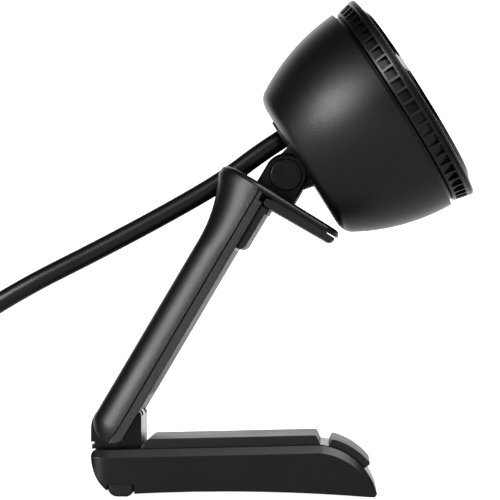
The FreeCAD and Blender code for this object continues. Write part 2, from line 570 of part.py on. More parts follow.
def make_fold_hinge():
    """The pin through the two cheeks of the arm, its washers and the knuckle on the foot."""
    group("fold_pin", "arm", [rod((0, -14.5, 0), (0, 1, 0), "fold_pin_radius", 29)])
    washers = []
    for side in (1, -1):
        start = (0, f"{side} * (block_half + 0.05)", 0)
        washer = doc.addObject("Part::Cut", "washer")
        washer.Base = rod(start, (0, side, 0), 4, "washer_thick")
        washer.Tool = rod(start, (0, side, 0), "fold_pin_radius + 0.05", "washer_thick")
        washers.append(washer)
    group("fold_washers", "arm", washers)
    rise = "fold_z + sqrt(block_radius ^ 2 - block_front ^ 2)"
    knuckle = extruded("hinge_block", "floor", [
        ("-block_radius + 0.3", "seat_z"), ("block_front", "seat_z"), ("block_front", rise),
        (0, "fold_z + block_radius", "-block_radius", "fold_z"), ("-block_radius", 14.1),
        ("-block_radius + 1", 14), ("-block_radius + 1", 13.5), ("-block_radius + 0.3", 13.4)],
        "2 * block_half")
    cut_round(knuckle, "XZ", 0, 30, [(0, "fold_z", "fold_pin_radius + 0.05")], both=True)
    cut_round(knuckle, "XY", "seat_z - 1", 4, [(0, y, 1.2) for y in (6, -6)], back=True)
    group("block_screws", "floor", [screw((0, y, 4.6), (0, 0, 1), 1.2, 2.1, 8.8, 1.4) for y in (6, -6)])


# ---- foot ----

def top(x):
    """Height of the foot's top surface at a place along it."""
    return f"foot_top + ({x}) * tan(foot_slope)"


def toe_point(angle, proud=0):
    """A point on the rounded toe, at an angle above the floor."""
    radius = f"(toe_radius + {proud})"
    return (f"toe_centre + {radius} * cos({angle})", f"{radius} * sin({angle}) - toe_low")


def make_foot():
    """The foot: shell, cover, ballast, rubber pads and threaded insert."""
    shell = extruded("foot_shell", "floor", [
        (-5.4, 4.9, -2.1, 1.2), (4.7, 0.75), (38, 2.1, 66.4, 0), (67.7, 0), toe_point(14),
        (*toe_point(50), *toe_point(84)), ("-heel_rim", top("-heel_rim")),
        (-6, 11.8, "-heel_back", 10.7)], "arm_width")
    edge_finish(shell, "Chamfer", "foot_bevel", lambda edge: on_side(edge, SIZES["arm_width"] / 2)
                and edge.BoundBox.ZMin > 12)
    cut_box(shell, (11, 51), ("hollow_floor", 20), "2 * hollow_half")
    cut_outline(shell, [(9, f"{top(9)} - cover_depth"), (53, f"{top(53)} - cover_depth"), (53, 20), (9, 20)],
                "2 * cover_half")
    add_round(shell, "XY", 3, 6, [("insert_x", 0, "insert_radius + 1.8")])
    cut_round(shell, "XY", 0, 20, [("insert_x", 0, "insert_radius")], back=True)
    cut_box(shell, (-8, "block_front"), ("seat_z", 20), "2 * block_half")
    cut_box(shell, (-2.4, 4.6), (-1, 3.2), "arm_width + 2")
    cut_round(shell, "XY", 0, 20, [(0, y, 1.2) for y in (6, -6)], back=True)
    cut_round(shell, "XY", 0, 6, [(0, y, 2.1) for y in (6, -6)], back=True)

    cover = extruded("foot_cover", "floor", [
        (9, f"{top(9)} - cover_depth"), (53, f"{top(53)} - cover_depth"), (53, top(53)), (9, top(9))],
        "2 * cover_half")
    extruded("foot_pad", "floor", [
        (6.6, top(6.6)), (53.4, top(53.4)), (52.3, f"{top(52.3)} + pad_height"), (8.1, f"{top(8.1)} + pad_height")],
        "2 * pad_half")
    extruded("toe_pad", "floor", [
        toe_point(77), (*toe_point(58), *toe_point(39)), toe_point(39, "toe_pad_height"),
        (*toe_point(58, "toe_pad_height"), *toe_point(76, "toe_pad_height"))], "2 * pad_half")
    slab("foot_weight", "floor", (14, 40), ("hollow_floor", "hollow_floor + 3.5"), 24)
    insert = body("tripod_insert", "floor")
    add_round(insert, "XY", 2.2, 6.8, [("insert_x", 0, "insert_radius")])
    cut_round(insert, "XY", 1, 12, [("insert_x", 0, "insert_bore")], back=True)
    extruded("heel_bumper", "floor", [
        (-2.4, 1.3), (-1.4, 0.7), (1.5, 0), (3, 0), (4.6, 0.8), (4.6, 3.2), (-2.4, 3.2)], "arm_width")


# ---- lead ----

def make_tube(name, points):
    """A round lead of straight runs and tangent arcs along a route."""
    item = doc.addObject("Part::Feature", name)
    item.Label = name
    corners = [FreeCAD.Vector(*point) for point in points]
    edges, start, radii = [], corners[0], []
    for before, corner, after in zip(corners, corners[1:], corners[2:]):
        inward, outward = (before - corner), (after - corner)
        reach = 0.45 * min(inward.Length, outward.Length)
        inward.normalize()
        outward.normalize()
        half_turn = (math.pi - inward.getAngle(outward)) / 2
        radius = reach / math.tan(half_turn)
        radii.append(radius)
        first, last = corner + inward * reach, corner + outward * reach
        centre = corner + (inward + outward).normalize() * (radius / math.cos(half_turn))
        middle = centre + (corner - centre).normalize() * radius
        edges.append(Part.LineSegment(start, first).toShape())
        edges.append(Part.Arc(first, middle, last).toShape())
        start = last
    edges.append(Part.LineSegment(start, corners[-1]).toShape())
    path = Part.Wire(edges)
    size = sheet.get("lead_radius")
    ring = Part.Wire(Part.Circle(corners[0], corners[1] - corners[0], size).toShape())
    tube = path.makePipeShell([ring], True, False)
    item.Shape = tube
    NODES.append(item)
    wanted = math.pi * size ** 2 * path.Length
    print(name, "length", round(path.Length, 1), "volume error", round(tube.Volume / wanted - 1, 5),
          "radii", [round(radius, 1) for radius in radii])
    return item


def make_lead():
    """The lead from the casing to its coil, the coil and its tie, and the plug."""
    exit_x = value(FRAMES["head"]["Base.x"] + " + (back_x - collar_proud) * cos(head_lift)"
                   " - lead_height * sin(head_lift)")
    exit_z = value(FRAMES["head"]["Base.z"] + " + (back_x - collar_proud) * sin(head_lift)"
                   " + lead_height * cos(head_lift)")
    lift = math.radians(SIZES["head_lift"])
    run = (exit_x - LEAD_ROUTE[0][0]) / math.cos(lift)
    straight_on = (LEAD_ROUTE[0][0], 0, exit_z - run * math.sin(lift))
    print("lead leaves at", round(exit_x, 3), round(exit_z, 3), "then", [round(v, 3) for v in straight_on])
    make_tube("cord_lead", [(exit_x, 0, exit_z), straight_on, *LEAD_ROUTE[1:]])
    make_tube("cord_tail", [*TAIL_ROUTE, (value("plug_x"), value("plug_y"), value("plug_z"))])

    coil = body("cord_coil", "world")
    ring = sketch(coil, "XY")
    for radius in ("coil_mean + coil_half", "coil_mean - coil_half"):
        circle(ring, "coil_x", 0, radius)
    feature(coil, "Pad", ring, "coil_height")
    edge_finish(coil, "Fillet", 2, lambda edge: True)
    notch = sketch(coil, "XY", -1)
    box_outline(notch, "coil_x - coil_mean - coil_half - 2", "coil_x - coil_mean + coil_half + 2",
                "-tie_width / 2", "tie_width / 2")
    feature(coil, "Pocket", notch, "tie_wall + 1", back=True)

    tie = slab("coil_tie", "world", ("coil_x - coil_mean - coil_half - tie_wall",
                                     "coil_x - coil_mean + coil_half + tie_wall"),
               (0, "coil_height + tie_wall"), "tie_width")
    cut_box(tie, ("coil_x - coil_mean - coil_half", "coil_x - coil_mean + coil_half"),
            ("tie_wall", "coil_height"), "tie_width + 2")

    grip = slab("usb_grip", "plug", (0, "grip_length"), ("-grip_height / 2", "grip_height / 2"), "grip_width")
    edge_finish(grip, "Fillet", 1.5, lambda edge: edge.BoundBox.XLength > 20)
    metal = slab("usb_shell", "plug", ("grip_length", "grip_length + shell_length"),
                 ("-shell_height / 2", "shell_height / 2"), "shell_width")
    hollow = sketch(metal, "YZ", "grip_length + 1")
    box_outline(hollow, "-shell_width / 2 + 0.3", "shell_width / 2 - 0.3", "-shell_height / 2 + 0.3",
                "shell_height / 2 - 0.3")
    feature(metal, "Pocket", hollow, 30, back=True)
    slab("usb_tongue", "plug", ("grip_length + 1", "grip_length + shell_length - 0.6"),
         (0, "shell_height / 2 - 0.3"), "shell_width - 0.8")


def save():
    """Check every object and write one file for each sub-part."""
    doc.recompute()
    for item in doc.Objects:
        if {"Invalid", "Error"} & set(item.State):
            raise RuntimeError(f"{item.Name} failed: {item.State}")
    os.makedirs("parts", exist_ok=True)
    whole = FreeCAD.BoundBox()
    for item in NODES:
        if item.Shape.isNull() or not item.Shape.isValid() or item.Shape.Volume <= 0:
            raise RuntimeError(f"{item.Label} has a bad shape")
        item.Shape.exportStep(f"parts/{item.Label}.step")
        if not item.Label.startswith(("cord_lead", "cord_tail", "cord_coil", "coil_", "usb_")):
            whole.add(item.Shape.BoundBox)
        print(item.Label, len(item.Shape.Solids), round(item.Shape.Volume, 1))
    print(len(NODES), "sub-parts; without the lead", whole)


make_head_casing()
make_electronics()
make_focus()
make_front()
make_arm()
make_tilt_hinge()
make_fold_hinge()
make_foot()
make_lead()
save()
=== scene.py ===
"""Webcam on a folding clip stand: finished pieces, materials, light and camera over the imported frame.

Pieces are drawn in millimetres in the frame of their own sub-assembly, and the matrices of Places bring
them to metres in the shared frame.
"""
import json
import logging
import math
from dataclasses import dataclass
from enum import Enum

import bmesh
import bpy
from bmesh.types import BMesh, BMEdge, BMFace, BMVert
from mathutils import Matrix, Vector


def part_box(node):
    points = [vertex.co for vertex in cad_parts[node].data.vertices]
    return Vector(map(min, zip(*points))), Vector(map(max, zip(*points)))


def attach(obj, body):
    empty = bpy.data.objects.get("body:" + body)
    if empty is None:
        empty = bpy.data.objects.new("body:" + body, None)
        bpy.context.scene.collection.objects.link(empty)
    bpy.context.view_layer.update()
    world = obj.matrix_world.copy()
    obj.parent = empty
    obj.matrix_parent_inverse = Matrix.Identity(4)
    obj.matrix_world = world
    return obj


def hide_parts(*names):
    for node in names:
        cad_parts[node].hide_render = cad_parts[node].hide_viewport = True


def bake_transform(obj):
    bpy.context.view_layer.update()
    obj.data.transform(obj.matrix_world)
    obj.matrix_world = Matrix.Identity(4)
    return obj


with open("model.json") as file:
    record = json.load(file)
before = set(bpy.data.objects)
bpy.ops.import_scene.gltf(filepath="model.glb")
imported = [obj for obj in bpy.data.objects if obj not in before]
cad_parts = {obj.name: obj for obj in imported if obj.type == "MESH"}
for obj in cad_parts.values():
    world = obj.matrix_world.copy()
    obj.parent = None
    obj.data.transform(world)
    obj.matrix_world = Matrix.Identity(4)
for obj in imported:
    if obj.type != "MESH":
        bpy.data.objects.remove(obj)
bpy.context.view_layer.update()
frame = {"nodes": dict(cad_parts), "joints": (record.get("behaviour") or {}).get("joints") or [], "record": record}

logging.basicConfig(level=logging.INFO, format="%(message)s")
log = logging.getLogger("webcam")

MM = 0.001
Corner = tuple[float, ...]


class Body(Enum):
    """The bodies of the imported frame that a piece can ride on."""

    ARM = "arm"
    HEAD = "head"
    DIAL = "dial"
    LENS = "lens"
    FOOT = "foot"


# ---- places ----


def joint(name: str) -> dict:
    """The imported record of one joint."""
    return next(entry for entry in frame["joints"] if entry["name"] == name)


@dataclass(frozen=True)
class Places:
    """Matrices from each sub-assembly's millimetres to the shared frame's metres."""

    floor: Matrix
    arm: Matrix
    head: Matrix
    plug: Matrix
    world: Matrix

    @classmethod
    def from_frame(cls, leg_lean: float = 30.6, plug_turn: float = 27.0) -> "Places":
        """Work the places out from the joints of the frame.

        Args:
            leg_lean: Lean of the leg from upright, in degrees.
            plug_turn: Turn of the plug about the vertical, in degrees.

        Returns:
            The five places.
        """
        scale = Matrix.Scale(MM, 4)
        fold = Vector(joint("foot_fold")["pos_m"])
        pivot = Vector(joint("head_tilt")["pos_m"])
        looks = Vector(joint("dial_turn")["axis"])
        grip_low, grip_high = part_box("usb_grip")
        grip = (grip_low + grip_high) / 2
        turn = Matrix.Rotation(math.radians(plug_turn), 4, "Z")
        return cls(
            floor=Matrix.Translation((fold.x, 0, 0)) @ scale,
            arm=Matrix.Translation(fold) @ Matrix.Rotation(math.radians(leg_lean), 4, "Y") @ scale,
            head=Matrix.Translation(pivot) @ Matrix.Rotation(-math.atan2(looks.z, looks.x), 4, "Y") @ scale,
            plug=Matrix.Translation(grip) @ turn @ scale,
            world=scale,
        )


places = Places.from_frame()
PLACE_OF = {Body.ARM: places.arm, Body.HEAD: places.head, Body.DIAL: places.head, Body.LENS: places.head,
            Body.FOOT: places.floor}


# ---- drawing ----


def arc(begin: Vector, via: Vector, end: Vector, step: float) -> list[Corner]:
    """Points of the arc from begin through via to end, without its begin.

    Args:
        begin: Where the arc starts.
        via: A point on the arc.
        end: Where the arc ends.
        step: Longest chord, in millimetres.

    Returns:
        The points, the end among them.
    """
    first, second = via - begin, end - begin
    twice = 2 * first.cross(second)
    offset = Vector((second.y * first.length_squared - first.y * second.length_squared,
                     first.x * second.length_squared - second.x * first.length_squared)) / twice
    centre = begin + offset
    turn = (begin - centre).angle_signed(via - centre) + (via - centre).angle_signed(end - centre)
    count = max(3, math.ceil(abs(turn) * offset.length / step))
    spoke = begin - centre
    points = []
    for number in range(1, count + 1):
        angle = -turn * number / count
        points.append((centre.x + spoke.x * math.cos(angle) - spoke.y * math.sin(angle),
                       centre.y + spoke.x * math.sin(angle) + spoke.y * math.cos(angle)))
    return points


def trace(corners: list[Corner], step: float = 1.0) -> list[Corner]:
    """Follow an outline.

    Args:
        corners: (x, z) for a straight run, or (via_x, via_z, x, z) for an arc that ends there.
        step: Longest chord on an arc, in millimetres.

    Returns:
        The outline's points.
    """
    points: list[Corner] = []
    for corner in corners:
        if len(corner) == 2:
            points.append(corner)
        else:
            via, end = Vector(corner[:2]), Vector(corner[2:])
            points += arc(Vector(points[-1]), via, end, step)
    return points


def turned(corners: list[Corner], closed: bool = True, steps: int = 144, step: float = 0.8) -> BMesh:
    """Turn an outline of (x, radius) corners about the X axis.

    Args:
        corners: The outline, for trace().
        closed: Whether the outline's end joins its start.
        steps: Facets in the full turn.
        step: Longest chord on an arc of the outline.

    Returns:
        The turned solid.
    """
    bm = bmesh.new()
    verts = [bm.verts.new((x, 0, radius)) for x, radius in trace(corners, step)]
    for here, there in zip(verts, verts[1:] + verts[:1] if closed else verts[1:]):
        bm.edges.new((here, there))
    bmesh.ops.spin(bm, geom=bm.verts[:] + bm.edges[:], cent=(0, 0, 0), axis=(1, 0, 0), dvec=(0, 0, 0),
                   angle=2 * math.pi, steps=steps, use_merge=True)
    bmesh.ops.remove_doubles(bm, verts=bm.verts, dist=1e-4)
    bmesh.ops.dissolve_degenerate(bm, edges=bm.edges, dist=1e-4)
    bmesh.ops.recalc_face_normals(bm, faces=bm.faces)
    return bm


def slab(corners: list[Corner], width: float, centre: float = 0.0, step: float = 1.0) -> BMesh:
    """Push an XZ outline sideways into a solid.

    Args:
        corners: The outline, for trace().
        width: Width along Y.
        centre: Middle of the width along Y.
        step: Longest chord on an arc.

    Returns:
        The solid.
    """
    bm = bmesh.new()
    verts = [bm.verts.new((x, centre - width / 2, z)) for x, z in trace(corners, step)]
    face = bm.faces.new(verts)
    made = bmesh.ops.extrude_face_region(bm, geom=[face])["geom"]
    bmesh.ops.translate(bm, vec=(0, width, 0), verts=[item for item in made if isinstance(item, BMVert)])
    bmesh.ops.recalc_face_normals(bm, faces=bm.faces)
    return bm


def lofted(rings: list[list[Corner]]) -> BMesh:
    """Bridge closed rings of points into a solid with flat ends.

    Args:
        rings: The rings in order, each with as many points as the others.

    Returns:
        The solid.
    """
    bm = bmesh.new()
    loops = []
    for ring in rings:
        verts = [bm.verts.new(point) for point in ring]
        loops.append([bm.edges.new(pair) for pair in zip(verts, verts[1:] + verts[:1])])
    for here, there in zip(loops, loops[1:]):
        bmesh.ops.bridge_loops(bm, edges=here + there)
    for end in (loops[0], loops[-1]):
        bmesh.ops.contextual_create(bm, geom=end)
    bmesh.ops.recalc_face_normals(bm, faces=bm.faces)
    return bm


def height_at(line: list[Corner], x: float) -> float:
    """Height of a line of (x, z) points at a place along it."""
    for (low_x, low_z), (high_x, high_z) in zip(line, line[1:]):
        if low_x <= x <= high_x:
            return low_z + (high_z - low_z) * (x - low_x) / max(high_x - low_x, 1e-6)
    return line[-1][1]


def as_mesh(bm: BMesh, name: str = "blank") -> bpy.types.Mesh:
    """Turn a solid into mesh data, and let the solid go."""
    mesh = bpy.data.meshes.new(name)
    bm.to_mesh(mesh)
    bm.free()
    return mesh


def placed(name: str, data: bpy.types.ID) -> bpy.types.Object:
    """Put a new object with that data in the scene."""
    item = bpy.data.objects.new(name, data)
    bpy.context.scene.collection.objects.link(item)
    return item


def slanted(bm: BMesh, matrix: Matrix) -> BMesh:
    """Transform a solid and give it back."""
    bmesh.ops.transform(bm, matrix=matrix, verts=bm.verts)
    return bm


def cylinder(radius: float, length: float, centre: Corner, upright: bool = False) -> BMesh:
    """A capped cylinder for cutting or joining.

    Args:
        radius: Radius in millimetres.
        length: Length in millimetres.
        centre: Middle of the cylinder.
        upright: Whether it stands along Z. It lies along Y otherwise.

    Returns:
        The solid.
    """
    bm = bmesh.new()
    bmesh.ops.create_cone(bm, cap_ends=True, segments=64, radius1=radius, radius2=radius, depth=length)
    turn = Matrix.Rotation(0 if upright else math.pi / 2, 4, "X")
    return slanted(bm, Matrix.Translation(centre) @ turn)


def brick(low: Corner, high: Corner) -> BMesh:
    """A box between two corners."""
    bm = bmesh.new()
    middle = (Vector(low) + Vector(high)) / 2
    size = Vector(high) - Vector(low)
    bmesh.ops.create_cube(bm, size=1, matrix=Matrix.Translation(middle) @ Matrix.Diagonal((*size, 1)))
    return bm


def soften(bm: BMesh, edges: list[BMEdge], size: float, segments: int = 3) -> None:
    """Round edges of a solid.

    Args:
        bm: The solid.
        edges: Its edges to round.
        size: Width of the rounding.
        segments: 1 makes a chamfer.
    """
    bmesh.ops.bevel(bm, geom=edges, offset=size, offset_type="OFFSET", affect="EDGES", segments=segments,
                    profile=0.5, material=-1, clamp_overlap=True)


def at_sides(bm: BMesh, half: float) -> list[BMEdge]:
    """The edges that lie in the two planes at that distance from the middle along Y."""
    return [edge for side in (-half, half) for edge in bm.edges
            if all(abs(vert.co.y - side) < 1e-3 for vert in edge.verts)]


def merged(*solids: BMesh) -> BMesh:
    """Gather solids in one mesh."""
    whole = solids[0]
    for solid in solids[1:]:
        mesh = as_mesh(solid)
        whole.from_mesh(mesh)
        bpy.data.meshes.remove(mesh)
    return whole


def joined(solid: BMesh, *tools: BMesh, operation: str = "DIFFERENCE") -> BMesh:
    """Cut closed solids out of another one after the other, or weld them on.

    Args:
        solid: The solid that stays.
        *tools: The solids that cut or are welded on.
        operation: DIFFERENCE or UNION.

    Returns:
        The resulting solid.
    """
    for tool in tools:
        pair = [placed("blank", as_mesh(source)) for source in (solid, tool)]
        modifier = pair[0].modifiers.new("cut", "BOOLEAN")
        modifier.object = pair[1]
        modifier.operation = operation
        modifier.solver = "EXACT"
        bpy.context.view_layer.update()
        result = bpy.data.meshes.new_from_object(pair[0].evaluated_get(bpy.context.evaluated_depsgraph_get()))
        solid = bmesh.new()
        solid.from_mesh(result)
        bpy.data.meshes.remove(result)
        for item in pair:
            mesh = item.data
            bpy.data.objects.remove(item)
            bpy.data.meshes.remove(mesh)
    return solid


def finished(name: str, bm: BMesh, body: Body, slot: str, *nodes: str, place: Matrix | None = None,
             sharp: float = 32.0) -> bpy.types.Object:
    """Make an object of a solid, dress it and hang it on its body.

    Args:
        name: The piece's name.
        bm: Its solid, in millimetres.
        body: The body it rides on.
        slot: The material slot it takes its finish from.
        *nodes: CAD nodes it stands for.
        place: Where its frame stands, if not in its body's own place.
        sharp: Angle in degrees past which an edge shades hard.

    Returns:
        The piece.
    """
    slanted(bm, place or PLACE_OF[body])
    mesh = as_mesh(bm, name)
    mesh.shade_smooth()
    mesh.set_sharp_from_angle(angle=math.radians(sharp))
    item = placed(name, mesh)
    even = item.modifiers.new("even_shading", "WEIGHTED_NORMAL")
    even.keep_sharp = True
    mesh.materials.append(materials[slot])
    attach(item, body.value)
    if nodes:
        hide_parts(*nodes)
    log.info("%s: %d faces on %s", name, len(mesh.polygons), body.value)
    return item


# ---- materials ----


def to_linear(code: str) -> tuple[float, float, float, float]:
    """Turn an sRGB hex colour to linear light."""
    channels = [int(code[start:start + 2], 16) / 255 for start in (1, 3, 5)]
    return (*(c / 12.92 if c <= 0.04045 else ((c + 0.055) / 1.055) ** 2.4 for c in channels), 1.0)


def add_node(tree: bpy.types.NodeTree, kind: str, inputs: dict | None = None, **settings) -> bpy.types.Node:
    """Add a node with its settings and links.

    Args:
        tree: The node tree.
        kind: The node's type, without ShaderNode before it.
        inputs: A constant, or the output that feeds it, for each socket name.
        **settings: Properties of the node.

    Returns:
        The node.
    """
    node = tree.nodes.new("ShaderNode" + kind)
    for name, setting in settings.items():
        setattr(node, name, setting)
    for name, feed in (inputs or {}).items():
        if isinstance(feed, bpy.types.NodeSocket):
            tree.links.new(feed, node.inputs[name])
        else:
            node.inputs[name].default_value = feed
    return node


def blank_material(name: str) -> tuple[bpy.types.Material, bpy.types.NodeTree]:
    """A new material with an empty node tree."""
    material = bpy.data.materials.new(name)
    material.use_nodes = True
    material.node_tree.nodes.clear()
    return material, material.node_tree


def surface_place(tree: bpy.types.NodeTree) -> bpy.types.NodeSocket:
    """The place on the object that a pattern is drawn from."""
    return add_node(tree, "TexCoord").outputs["Object"]


def add_shader(tree: bpy.types.NodeTree, inputs: dict) -> None:
    """Give a material its one shader, with a constant or a feed for each socket named."""
    shader = add_node(tree, "BsdfPrincipled", inputs)
    add_node(tree, "OutputMaterial", {"Surface": shader.outputs["BSDF"]})


def tinted(tree: bpy.types.NodeTree, feed: bpy.types.NodeSocket, dark: str, light: str, low: float = 0.0,
           high: float = 1.0) -> bpy.types.NodeSocket:
    """A colour that runs from dark to light as its feed rises from low to high."""
    tint = add_node(tree, "ValToRGB", {"Fac": feed})
    for stop, position, code in zip(tint.color_ramp.elements, (low, high), (dark, light)):
        stop.position, stop.color = position, to_linear(code)
    return tint.outputs["Color"]


def greater(tree: bpy.types.NodeTree, *feeds: bpy.types.NodeSocket) -> bpy.types.NodeSocket:
    """The greater of two values, worked out in the node tree."""
    node = add_node(tree, "Math", operation="MAXIMUM")
    for feed, socket in zip(feeds, node.inputs):
        tree.links.new(feed, socket)
    return node.outputs["Value"]


@dataclass(frozen=True)
class Grain:
    """Fine relief of a surface, with the colour and gloss that go with it."""

    size: float
    depth: float
    light: str
    dark: str
    shine: tuple[float, float]
    stretch: tuple[float, float, float] = (1.0, 1.0, 1.0)

    def feeds(self, tree: bpy.types.NodeTree) -> dict:
        """Add the pattern's nodes.

        Args:
            tree: The material's node tree.

        Returns:
            What feeds the shader's Base Color, Roughness and Normal.
        """
        where = add_node(tree, "Mapping",
                         {"Vector": surface_place(tree), "Scale": self.stretch}).outputs["Vector"]
        fine = add_node(tree, "TexNoise",
                        {"Vector": where, "Scale": 1 / (self.size * MM), "Detail": 3.0, "Roughness": 0.6})
        broad = add_node(tree, "TexNoise",
                         {"Vector": where, "Scale": 1 / (40 * self.size * MM), "Detail": 2.0})
        tint = tinted(tree, fine.outputs["Fac"], self.dark, self.light, low=0.35, high=0.7)
        shine = add_node(tree, "MapRange",
                         {"Value": broad.outputs["Fac"], "From Min": 0.3, "From Max": 0.7,
                          "To Min": self.shine[0], "To Max": self.shine[1]})
        relief = add_node(tree, "Bump",
                          {"Height": fine.outputs["Fac"], "Distance": self.depth * MM, "Strength": 1.0})
        return {"Base Color": tint, "Roughness": shine.outputs["Result"], "Normal": relief.outputs["Normal"]}


@dataclass(frozen=True)
class Opaque:
    """A plastic, rubber, paint or metal whose surface is one grain."""

    grain: Grain
    ior: float = 1.5
    metallic: float = 0.0
    coat: float = 0.0
    sheen: float = 0.0
    subsurface: float = 0.0

    def material(self, name: str) -> bpy.types.Material:
        """Build the material of that name."""
        material, tree = blank_material(name)
        inputs = {"IOR": self.ior, "Metallic": self.metallic, "Coat Weight": self.coat,
                  "Coat Roughness": 0.08, "Sheen Weight": self.sheen, "Sheen Roughness": 0.4,
                  "Subsurface Weight": self.subsurface, "Subsurface Scale": 2 * MM}
        add_shader(tree, inputs | self.grain.feeds(tree))
        return material


@dataclass(frozen=True)
class Clear:
    """A polished glass with a faint coating."""

    tint: str
    ior: float = 1.52
    coat: float = 0.3

    def material(self, name: str) -> bpy.types.Material:
        """Build the material of that name."""
        material, tree = blank_material(name)
        haze = add_node(tree, "TexNoise",
                        {"Vector": surface_place(tree), "Scale": 1 / (6 * MM), "Detail": 2.0})
        polish = add_node(tree, "MapRange",
                          {"Value": haze.outputs["Fac"], "To Min": 0.01, "To Max": 0.05})
        add_shader(tree, {
            "Base Color": to_linear(self.tint), "Transmission Weight": 1.0, "IOR": self.ior,
            "Coat Weight": self.coat, "Roughness": polish.outputs["Result"]})
        return material


@dataclass(frozen=True)
class Laminate:
    """Glass-fibre circuit board under solder mask, with copper tracks that show as raised lines."""

    mask: str = "#0b3a22"
    track: str = "#14552f"
    pitch: float = 1.2

    def material(self, name: str) -> bpy.types.Material:
        """Build the material of that name."""
        material, tree = blank_material(name)
        mask = to_linear(self.mask)
        tracks = add_node(tree, "TexBrick",
                          {"Vector": surface_place(tree), "Color1": mask, "Color2": mask,
                           "Mortar": to_linear(self.track), "Scale": 1 / (2 * self.pitch * MM),
                           "Mortar Size": 0.06})
        relief = add_node(tree, "Bump", {"Height": tracks.outputs["Fac"], "Distance": 0.05 * MM})
        add_shader(tree, {"Base Color": tracks.outputs["Color"], "Normal": relief.outputs["Normal"],
                          "Roughness": 0.3, "Coat Weight": 0.3})
        return material


@dataclass(frozen=True)
class Woven:
    """Nylon hook-and-loop strap: threads that cross every half millimetre."""

    light: str = "#2a2a2c"
    dark: str = "#0a0a0b"
    thread: float = 0.55

    def material(self, name: str) -> bpy.types.Material:
        """Build the material of that name."""
        material, tree = blank_material(name)
        where = surface_place(tree)
        waves = [add_node(tree, "TexWave",
                          {"Vector": where, "Scale": 0.314 / (2 * self.thread * MM), "Distortion": 0.6},
                          bands_direction=direction).outputs["Fac"] for direction in ("Y", "DIAGONAL")]
        weave = greater(tree, *waves)
        tint = tinted(tree, weave, self.dark, self.light)
        relief = add_node(tree, "Bump", {"Height": weave, "Distance": 0.15 * MM})
        add_shader(tree, {"Base Color": tint, "Normal": relief.outputs["Normal"], "Roughness": 0.85,
                          "Sheen Weight": 0.5, "Sheen Roughness": 0.5})
        return material


